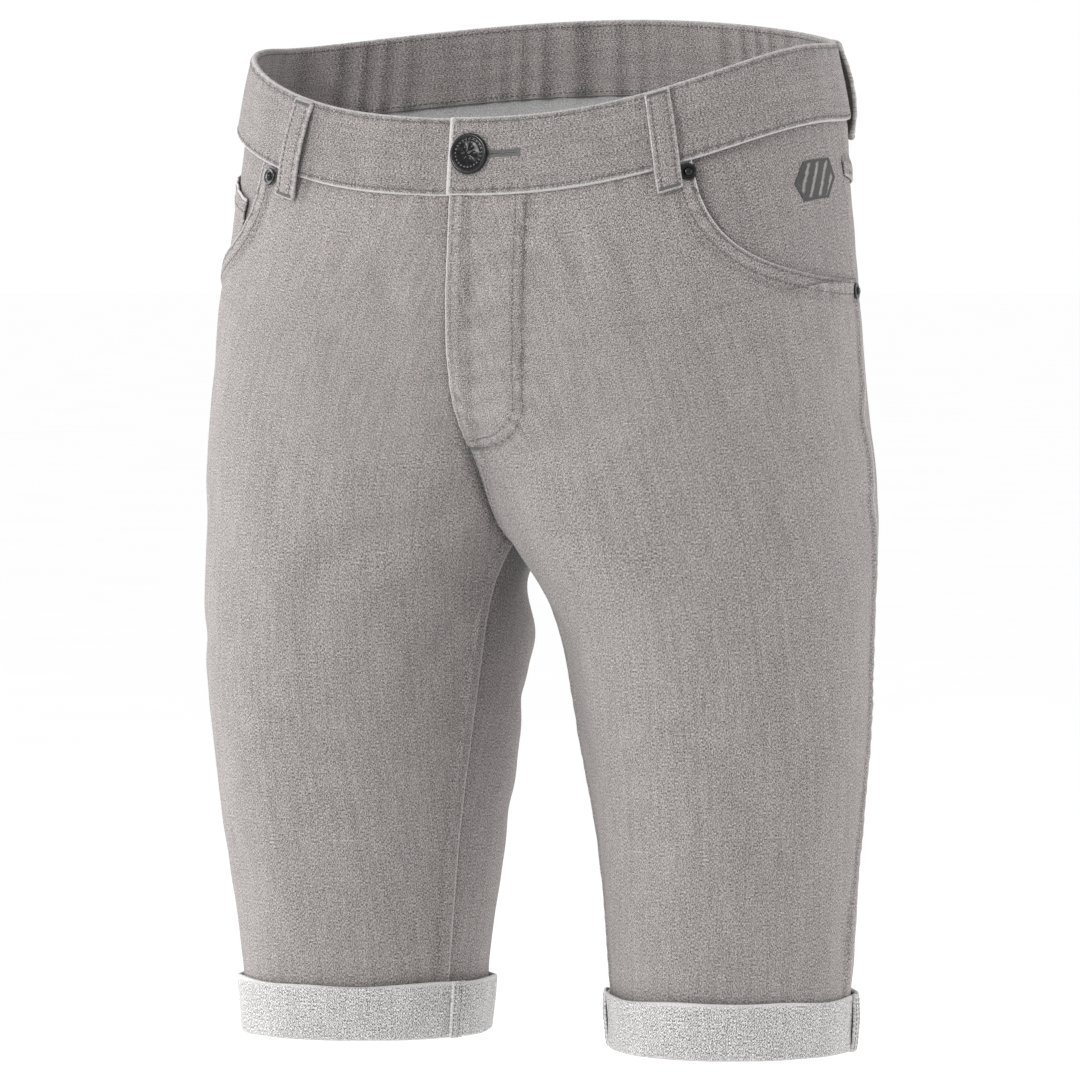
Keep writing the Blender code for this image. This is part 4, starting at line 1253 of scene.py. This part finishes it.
def back_pocket_stitches(surface, side):
    """Two rows round the pocket, two across its hem, and a tack at each top corner."""
    rows = []
    middle = (POCKET_LOW + POCKET_HIGH) / 2
    for inset in (0.17, 0.78):
        degrees = inset * 5.4
        low, high = POCKET_LOW + degrees, POCKET_HIGH - degrees
        corner = 21.3 - inset * 0.6
        outline = ((low, 9.4), (low + POCKET_LOW_IN, corner), (middle, 23.95 - inset * 1.15),
                   (high - POCKET_HIGH_IN, corner), (high, 9.75))
        rows.append(stitch_row(surface, *form_line(outline), side))
    for below in (0.2, 2.0):
        line = form_line(((POCKET_LOW + 0.9, POCKET_TOP[0] + below),
                          (POCKET_HIGH - 0.9, POCKET_TOP[1] + below)))
        rows.append(stitch_row(surface, *line, side))
    for turn in (POCKET_LOW + 2.0, POCKET_HIGH - 2.0):
        rows.append(satin(surface, *form_line(((turn, 9.35), (turn, 10.15))), TACK, side))
    return rows


def band_line(turns, rise):
    """Points and outward normals along the waistband at a rise."""
    turns = np.asarray(turns, float)
    rise = np.broadcast_to(rise, turns.shape)
    return band_point(turns, rise, np.zeros(turns.shape)), band_base(turns)[1]


def band_stitches(band):
    """Rows along both edges of the waistband, on both faces, and down its end."""
    surface = surface_of(band)
    rows = []
    for rise in (2.3 * MM, BAND_HEIGHT - 2.4 * MM):
        rows.append(stitch_row(surface, *band_line(np.linspace(0.3, 358.2, 900), rise)))
        inside, way = band_line(np.linspace(20, 340, 800), rise)
        rows.append(stitch_row(surface, inside, -way))
    end = np.linspace(3 * MM, BAND_HEIGHT - 3 * MM, 60)
    rows.append(stitch_row(surface, *band_line(np.zeros(60), end)))
    return rows


def buttonhole(band):
    """Buttonhole in the left end: satin stitches on both sides of a slit, and a tack."""
    surface = surface_of(band)
    rows = []
    for offset in (-1.15 * MM, 1.15 * MM):
        line = band_line(np.linspace(*HOLE_TURNS, 90), BUTTON_RISE + offset)
        rows.append(satin(surface, *line, 2.0 * MM, 1, 0.5 * MM))
    across = np.linspace(-2.4 * MM, 2.4 * MM, 30) + BUTTON_RISE
    tack = band_line(np.full(30, HOLE_TURNS[1] + 0.3), across)
    rows.append(satin(surface, *tack, 2.4 * MM, 1, 0.5 * MM))
    return rows


def slit(band, material):
    """The buttonhole's cut between its two rows of stitches: a near-black sheet, painted shade
    standing in for the gap.
    """
    surface = surface_of(band)
    turns = np.linspace(HOLE_TURNS[0], HOLE_TURNS[1] - 0.1, 46)
    outer = []
    for offset, height in ((0.16, 0.12), (0.0, 0.22), (-0.16, 0.12)):
        hits, ways = cast(surface, *band_line(turns, BUTTON_RISE + offset * MM))
        outer.append(hits + ways * height * MM)
    outer = np.array(outer)
    piece = closed_sheet("buttonhole_slit", outer, outer - band_base(turns)[1] * 0.5 * MM,
                         [material])
    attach(piece, "root")


def loop_stitches(cloth):
    """Two rows down each belt loop and a tack across each end."""
    rows = []
    for name, turn in LOOP_TURNS.items():
        surface = surface_of(cloth[name])
        side = -1 if turn < 0 else 1
        turn = abs(turn)
        half = float(degrees_for(LOOP_HALF, turn, 0.0))
        shares = np.linspace(0.02, 0.985, 90)
        rise, off = loop_path(turn, shares)
        for place in (-0.66, 0.66):
            at = turn + half * place + loop_sway(turn, shares)
            rows.append(stitch_row(surface, loop_place(at, rise, off), band_base(at)[1], side))
        for share in (0.03, 0.975):
            rise, off = loop_path(turn, np.full(40, share))
            at = turn + half * np.linspace(-0.82, 0.82, 40) + loop_sway(turn, share)
            rows.append(satin(surface, loop_place(at, rise, off), band_base(at)[1], TACK, side, CLOSE))
    return rows


def cuff_stitches(cloth, side, turns):
    """Overlock threads across the seam edges that show on a turned-up hem."""
    rows = []
    heights = np.linspace(1.5 * MM, CUFF_DEPTH - 1 * MM, 60)
    drop = HEM_DROP - heights
    for seam_name, middle in turns.items():
        surface = surface_of(cloth["cuff_" + seam_name + "_" + SIDE_NAME[side]])
        at = middle + cuff_sway(heights, side)
        rows.append(satin(surface, form(at, drop), normals(at, drop), 6.4 * MM, side, 1.5 * MM))
        for shift in (-3.4 * MM, 3.2 * MM, -0.6 * MM):
            place = at + degrees_for(shift, middle, HEM_DROP)
            rows.append(stitch_row(surface, form(place, drop), normals(place, drop), side,
                                   2.4 * MM, 0.85))
    return rows


# Metal and print

def lathe(name, profile, place, out, steps, material, dents=None):
    """Turned piece on the axis `out`; dents(radius, angle) adds height to its face."""
    out = np.array(out) / np.linalg.norm(out)
    across = unit(np.cross((0.0, 0.0, 1.0), out))
    up = np.cross(out, across)
    angles = np.arange(steps) * 2 * math.pi / steps
    points = [place + out * profile[0][1]]
    for radius, height in profile[1:-1]:
        extra = dents(radius, angles) if dents else np.zeros(steps)
        ring = (place + out * (height + extra)[:, None] + radius
                * (across * np.cos(angles)[:, None] + up * np.sin(angles)[:, None]))
        points.extend(ring)
    middle = dents(0.0, angles[:1])[0] if dents else 0.0
    points.append(place + out * (profile[-1][1] + middle))
    last = len(points) - 1
    around = np.arange(steps)
    ahead = np.roll(around, -1)
    bottom = [(0, 1 + n, 1 + k) for k, n in zip(around.tolist(), ahead.tolist())]
    top = [(last - steps + k, last - steps + n, last) for k, n in zip(around.tolist(), ahead.tolist())]
    faces = bottom + (ring_faces(len(profile) - 2, steps) + 1).tolist() + top
    piece = make_piece(name, points, faces, [material])
    turn_outward(piece.data)
    return piece


def button_relief(radius, angle):
    """Plain embossed pattern: a beaded ring, and a rosette of petals in the middle."""
    share = radius / BUTTON_RADIUS
    beads = 0.22 * MM * bell(share - 0.70, 0.05) * (0.55 + 0.45 * np.cos(angle * 24))
    petal = 0.36 * MM * bell(share - 0.34, 0.17) * (0.5 + 0.5 * np.cos(angle * 6)) ** 1.5
    core = 0.3 * MM * bell(share, 0.10) * np.ones_like(angle)
    return beads + petal + core


def button(material):
    """Jeans button with a rolled rim."""
    steps = [(0, 0), (0.80, 0), (0.93, 0.1), (0.99, 0.5), (1.0, 1.0), (0.995, 1.5), (0.975, 1.95),
             (0.94, 2.3), (0.90, 2.42), (0.86, 2.36), (0.83, 2.16), (0.81, 2.02)]
    for share in np.linspace(0.785, 0.03, 40):
        steps.append((share, 2.0 + 0.55 * math.cos(share * math.pi / 2) ** 1.4))
    steps.append((0.0, 2.55))
    profile = [(share * BUTTON_RADIUS, height * MM) for share, height in steps]
    out = band_base(BUTTON_TURN)[1]
    place = band_point(np.array(BUTTON_TURN), np.array(BUTTON_RISE), np.array(BAND_OUT + 0.3 * MM))
    piece = lathe("button_detail", profile, place, out, 144, material, button_relief)
    replace(piece, "button")


def rivet(name, turn, drop, material, side):
    """Rivet with a ring and a raised middle."""
    steps = [(0, 0), (0.90, 0.0), (1.0, 0.25), (1.02, 0.6), (0.97, 0.95), (0.88, 1.1), (0.80, 1.05),
             (0.72, 0.85), (0.60, 0.80), (0.52, 0.95), (0.46, 1.5), (0.40, 1.95), (0.30, 2.2),
             (0.16, 2.35), (0, 2.4)]
    profile = [(share * RIVET_RADIUS, height * MM) for share, height in steps]
    out = normals(turn, drop)
    place = (form(turn, drop) + out * RIVET_LIFT) * (side, 1, 1)
    piece = lathe(name + "_detail", profile, place, out * (side, 1, 1), 48, material)
    replace(piece, name)


def badge(cloth, material):
    """Generic printed badge: a long hexagon with a raised rim and three slanted bars."""
    outline = np.array(((1, 0), (0.62, 1), (-0.62, 1), (-1, 0), (-0.62, -1), (0.62, -1)), float)
    steps = np.linspace(0, 1, 14, endpoint=False)[:, None]
    corners = np.concatenate([here + (ahead - here) * steps
                              for here, ahead in zip(outline, np.roll(outline, -1, 0))])
    size = np.array([0.02, *np.linspace(0.12, 0.80, 12), 0.84, 0.86, 0.88, 0.95, 0.98, 1.0])
    across, down = np.moveaxis(corners * size[:, None, None], -1, 0)
    size = size[:, None]
    bars = np.sin((across * BADGE_WIDE + down * BADGE_HIGH * 0.4) / (2.1 * MM) * math.pi / 2)
    raised = (size >= 0.88) | ((size <= 0.84) & (bars > -0.55))
    turn = BADGE_TURN + float(degrees_for(BADGE_WIDE, BADGE_TURN, BADGE_DROP)) * across
    drop = BADGE_DROP + BADGE_HIGH * down
    hits, ways = cast(surface_of(cloth["pocket_facing_left"]), form(turn, drop).reshape(-1, 3),
                      normals(turn, drop).reshape(-1, 3), 8 * MM)
    outer = hits + ways * np.where(raised, 0.45 * MM, 0.12 * MM).reshape(-1, 1)
    count = len(corners)
    low = outer[-count:] - normals(BADGE_TURN, BADGE_DROP) * 0.7 * MM
    rim = np.arange(count)
    faces = ring_faces(len(size) + 1, count).tolist() + [rim.tolist(), (rim + len(outer)).tolist()]
    piece = make_piece("pocket_badge_print", np.concatenate([outer, low]), faces, [material], False)
    add_attribute(piece.data, "raised", np.append(raised.ravel(), np.ones(count)))
    turn_outward(piece.data)
    replace(piece, "pocket_badge")


# Materials

class Shader:
    """A material whose nodes are made and joined with short calls."""

    def __init__(self, name, roughness, metallic=0.0):
        self.material = bpy.data.materials.new(name)
        self.material.use_nodes = True
        self.nodes = self.material.node_tree.nodes
        self.links = self.material.node_tree.links
        self.surface = self.nodes["Principled BSDF"]
        self.surface.inputs["Roughness"].default_value = roughness
        self.surface.inputs["Metallic"].default_value = metallic

    def set(self, socket, value):
        """Join an output to an input socket, or set its constant."""
        if isinstance(value, bpy.types.NodeSocket):
            self.links.new(value, socket)
        else:
            socket.default_value = value

    def math(self, operation, a, b=0.0, clamp=False):
        node = self.nodes.new("ShaderNodeMath")
        node.operation = operation
        node.use_clamp = clamp
        self.set(node.inputs[0], a)
        self.set(node.inputs[1], b)
        return node.outputs[0]

    def attribute(self, name):
        node = self.nodes.new("ShaderNodeAttribute")
        node.attribute_name = name
        return node.outputs["Fac"]

    def noise(self, place, scale, detail=2.0, rough=0.5):
        """Noise over a place stretched by a scale, one number or one for each axis."""
        stretch = self.nodes.new("ShaderNodeVectorMath")
        stretch.operation = "MULTIPLY"
        self.set(stretch.inputs[0], place)
        stretch.inputs[1].default_value = scale if isinstance(scale, tuple) else (scale,) * 3
        node = self.nodes.new("ShaderNodeTexNoise")
        self.set(node.inputs["Vector"], stretch.outputs[0])
        node.inputs["Scale"].default_value = 1.0
        node.inputs["Detail"].default_value = detail
        node.inputs["Roughness"].default_value = rough
        return node.outputs["Fac"]

    def mix(self, share, a, b):
        node = self.nodes.new("ShaderNodeMix")
        node.data_type = "RGBA"
        self.set(node.inputs["Factor"], share)
        self.set(node.inputs["A"], a)
        self.set(node.inputs["B"], b)
        return node.outputs["Result"]

    def coordinates(self, kind="UV"):
        return self.nodes.new("ShaderNodeTexCoord").outputs[kind]

    def parts(self, place):
        node = self.nodes.new("ShaderNodeSeparateXYZ")
        self.set(node.inputs[0], place)
        return node.outputs[0], node.outputs[1]

    def bump(self, height, distance, strength=1.0):
        node = self.nodes.new("ShaderNodeBump")
        node.inputs["Strength"].default_value = strength
        node.inputs["Distance"].default_value = distance
        self.set(node.inputs["Height"], height)
        self.set(self.surface.inputs["Normal"], node.outputs[0])

    def colour(self, value):
        self.set(self.surface.inputs["Base Color"], value)


def grey(value, warm=0.0):
    """Grey of a brightness, a little towards red where warm."""
    return (value * (1 + warm), value, value * (1 - warm * 0.25), 1.0)


def twill(shader, place, pitch):
    """Diagonal ribs of the weave, broken up a little."""
    across, down = shader.parts(place)
    wander = shader.math("MULTIPLY", shader.noise(place, (700.0, 160.0, 1.0), 1.0), 3.0)
    line = shader.math("MULTIPLY", shader.math("ADD", across, down), 2 * math.pi / pitch)
    line = shader.math("ADD", line, wander)
    return shader.math("MULTIPLY", shader.math("ADD", shader.math("SINE", line), 1.0), 0.5)


def cloth_shader(name, light, warm, grain, mottle, rib_pitch):
    """Twill cloth: dark and pale yarn ends, slubs down the warp, ribs and blotchy wear, made paler or
    darker by the mesh's wear and painted shade.
    """
    shader = Shader(name, 0.92)
    shader.surface.inputs["Sheen Weight"].default_value = 0.10
    shader.surface.inputs["Sheen Roughness"].default_value = 0.55
    shader.surface.inputs["Specular IOR Level"].default_value = 0.15
    place = shader.coordinates()
    dashes = shader.noise(place, (1900.0, 900.0, 1.0), 2.0, 0.6)
    specks = shader.noise(place, (1800.0, 1700.0, 1.0), 2.0, 0.65)
    threads = shader.noise(place, (900.0, 60.0, 1.0), 2.0, 0.55)
    streaks = shader.noise(place, (330.0, 12.0, 1.0), 2.0, 0.5)
    blotches = shader.noise(place, (190.0, 130.0, 1.0), 3.0, 0.6)
    cloud = shader.noise(place, (40.0, 22.0, 1.0), 3.0, 0.55)
    ribs = twill(shader, place, rib_pitch)

    def swing(field, amount):
        return shader.math("MULTIPLY", shader.math("SUBTRACT", field, 0.5), amount)

    total = swing(dashes, grain * 1.6)
    for field, amount in ((specks, grain), (threads, grain * 0.22), (streaks, mottle * 1.5),
                          (blotches, mottle), (cloud, mottle * 0.8), (ribs, grain * 0.10)):
        total = shader.math("ADD", total, swing(field, amount))
    # The mesh's wear and painted shade make the cloth paler or darker
    wear_and_shade = shader.math("MULTIPLY", shader.attribute("wear_and_shade"), 0.22)
    total = shader.math("ADD", shader.math("ADD", total, wear_and_shade), 1.0)
    total = shader.math("MAXIMUM", total, 0.22)
    base = shader.nodes.new("ShaderNodeVectorMath")
    base.operation = "SCALE"
    base.inputs[0].default_value = grey(light, warm)[:3]
    shader.set(base.inputs["Scale"], total)
    edge = shader.math("MULTIPLY", shader.attribute("worn"),
                       shader.math("ADD", shader.math("MULTIPLY", specks, 1.5), 0.1), True)
    shader.colour(shader.mix(edge, base.outputs[0], grey(0.50, 0.03)))
    height = shader.math("ADD", shader.math("MULTIPLY", dashes, 1.2),
                         shader.math("ADD", shader.math("MULTIPLY", ribs, 0.3),
                                     shader.math("MULTIPLY", specks, 1.0)))
    shader.bump(height, 0.30 * MM, 0.9)
    return shader.material


def thread_material():
    shader = Shader("thread", 0.75)
    place = shader.coordinates("Object")
    twist = shader.noise(place, 2600.0)
    tone = shader.noise(place, 90.0)
    dark = shader.mix(tone, grey(0.045, 0.02), grey(0.09, 0.02))
    shader.colour(shader.mix(shader.math("MULTIPLY", twist, 0.5), dark, grey(0.16, 0.02)))
    shader.bump(twist, 0.15 * MM, 0.7)
    return shader.material


def metal_material():
    shader = Shader("gunmetal", 0.30, 1.0)
    place = shader.coordinates("Object")
    wear = shader.noise(place, 420.0, 4.0, 0.6)
    # Paler on sharp raised edges: worn metal, and a painted highlight
    edge = shader.nodes.new("ShaderNodeNewGeometry").outputs["Pointiness"]
    raised = shader.math("MULTIPLY", shader.math("SUBTRACT", edge, 0.50), 5.0, True)
    tone = shader.mix(wear, grey(0.010), grey(0.028))
    shader.colour(shader.mix(raised, tone, grey(0.10)))
    rough = shader.math("ADD", shader.math("MULTIPLY", wear, 0.20), 0.14)
    shader.set(shader.surface.inputs["Roughness"], rough)
    shader.bump(shader.noise(place, 2600.0), 0.05 * MM, 0.5)
    return shader.material


def print_material():
    shader = Shader("badge_print", 0.6)
    shader.surface.inputs["Specular IOR Level"].default_value = 0.1
    fine = shader.noise(shader.coordinates("Object"), 1500.0, 3.0)
    dark = shader.mix(fine, grey(0.025), grey(0.075))
    shader.colour(shader.mix(shader.attribute("raised"), grey(0.21, 0.06), dark))
    shader.bump(fine, 0.12 * MM, 0.6)
    return shader.material


def hole_material():
    shader = Shader("slit", 0.95)
    fine = shader.noise(shader.coordinates("Object"), 1500.0)
    # Near-black: painted shade for the gap of the buttonhole's cut
    shader.colour(shader.mix(fine, grey(0.02), grey(0.05)))
    return shader.material


# Camera, light and floor

def hold(data, azimuth, elevation, distance, target):
    """Object that looks at the target from degrees round to the wearer's left, and up."""
    a, e = math.radians(azimuth), math.radians(elevation)
    way = Vector((math.sin(a) * math.cos(e), -math.cos(a) * math.cos(e), math.sin(e)))
    holder = bpy.data.objects.new(data.name, data)
    holder.location = target + way * distance
    holder.rotation_euler = way.to_track_quat("Z", "Y").to_euler()
    bpy.context.collection.objects.link(holder)
    return holder


def camera():
    """Seen from the wearer's left front, almost level, through a long lens."""
    made = bpy.data.cameras.new("camera")
    made.lens = LENS
    made.sensor_width = 36.0
    made.clip_end = 200.0
    azimuth = math.radians(VIEW_AZIMUTH)
    right = Vector((math.cos(azimuth), math.sin(azimuth), 0.0))
    target = Vector((0, 0, VIEW_TARGET_Z)) - right * VIEW_SHIFT
    holder = hold(made, VIEW_AZIMUTH, VIEW_ELEVATION, VIEW_DISTANCE, target)
    bpy.context.scene.camera = holder


def softbox(name, azimuth, elevation, distance, size, power):
    """Rectangular light aimed at the middle of the shorts."""
    made = bpy.data.lights.new(name, "AREA")
    made.shape = "RECTANGLE"
    made.size, made.size_y = size
    made.energy = power
    hold(made, azimuth, elevation, distance, Vector((0, 0, -0.27)))


def studio():
    """White surroundings and three soft lights."""
    world = bpy.data.worlds.new("studio")
    world.use_nodes = True
    background = world.node_tree.nodes["Background"]
    background.inputs["Color"].default_value = (1.0, 1.0, 1.0, 1.0)
    background.inputs["Strength"].default_value = 1.0
    scene = bpy.context.scene
    scene.world = world
    scene.view_settings.view_transform = "Standard"
    scene.view_settings.look = "None"
    softbox("side_left", VIEW_AZIMUTH - 112, 10, 2.6, (1.2, 1.8), 60)
    softbox("side_right", VIEW_AZIMUTH + 104, 10, 2.6, (1.2, 1.8), 36)
    softbox("key", VIEW_AZIMUTH - 40, 26, 3.2, (0.6, 0.6), 50)


def floor():
    """A wide pale disc below the shorts."""
    shader = Shader("floor", 0.9)
    shader.surface.inputs["Specular IOR Level"].default_value = 0.0
    fine = shader.noise(shader.coordinates("Object"), 3.0, 3.0)
    shader.colour(shader.mix(fine, grey(0.97), grey(1.0)))
    angles = np.arange(FLOOR_STEPS) * 2 * math.pi / FLOOR_STEPS
    rim = FLOOR_RADIUS * np.stack([np.cos(angles), np.sin(angles), np.zeros(FLOOR_STEPS)], -1)
    piece = make_piece("floor", rim, [list(range(FLOOR_STEPS))], [shader.material], False)
    piece.location = (0, 0, CUFF_LOW - FLOOR_GAP)


# The shorts


def build():
    """Make every piece; gives the cloth pieces by the name of their node."""
    denim = cloth_shader("denim", light=0.203, warm=0.09, grain=3.0, mottle=0.26,
                         rib_pitch=1.05 * MM)
    inside = cloth_shader("denim_wrong_side", light=0.47, warm=0.008, grain=1.2, mottle=0.16,
                          rib_pitch=1.3 * MM)
    pale = cloth_shader("denim_turned_up", light=0.345, warm=0.02, grain=3.6, mottle=0.2,
                        rib_pitch=1.5 * MM)
    thread = thread_material()
    metal = metal_material()
    cloth = {}
    faces = [denim, inside]
    cloth["waistband"] = waistband(denim)
    cuff_seams = {"inseam": float(inseam(HEM_DROP - CUFF_DEPTH / 2)) - 3,
                  "sideseam": float(side_seam(HEM_DROP - CUFF_DEPTH / 2)) + 3}
    for side, name in SIDE_NAME.items():
        cloth["front_" + name] = front_panel(side, faces)
        cloth["back_" + name] = back_panel(side, faces)
        cloth["yoke_" + name] = yoke(side, faces)
        cloth["pocket_facing_" + name] = pocket_facing(side, faces)
        cloth["back_pocket_" + name] = back_pocket(side, faces)
        cloth["cuff_" + name] = cuff(side, pale)
        for seam_name, turn in cuff_seams.items():
            cloth["cuff_" + seam_name + "_" + name] = cuff_allowance(side, seam_name, turn, [pale])
    cloth["coin_pocket"] = coin_pocket(faces)
    for name, turn in LOOP_TURNS.items():
        cloth[name] = belt_loop(name, turn, denim)
    badge(cloth, print_material())
    button(metal)
    for side, name in SIDE_NAME.items():
        rivet("rivet_top_" + name, RIVET_TURNS[side], RIVET_TOP_DROP, metal, side)
        rivet("rivet_side_" + name, float(side_seam(9 * CM)) + RIVET_SIDE_TURN, RIVET_SIDE_DROP,
              metal, side)
        thread_mesh("stitches_" + name, panel_stitches(side, cloth), thread)
        thread_mesh("cuff_threads_" + name, cuff_stitches(cloth, side, cuff_seams), thread, 0.22 * MM)
    thread_mesh("stitches_waistband", band_stitches(cloth["waistband"]), thread)
    thread_mesh("stitches_buttonhole", buttonhole(cloth["waistband"]), thread, 0.26 * MM)
    slit(cloth["waistband"], hole_material())
    thread_mesh("stitches_belt_loops", loop_stitches(cloth), thread)
    return cloth


camera()
studio()
floor()
build()
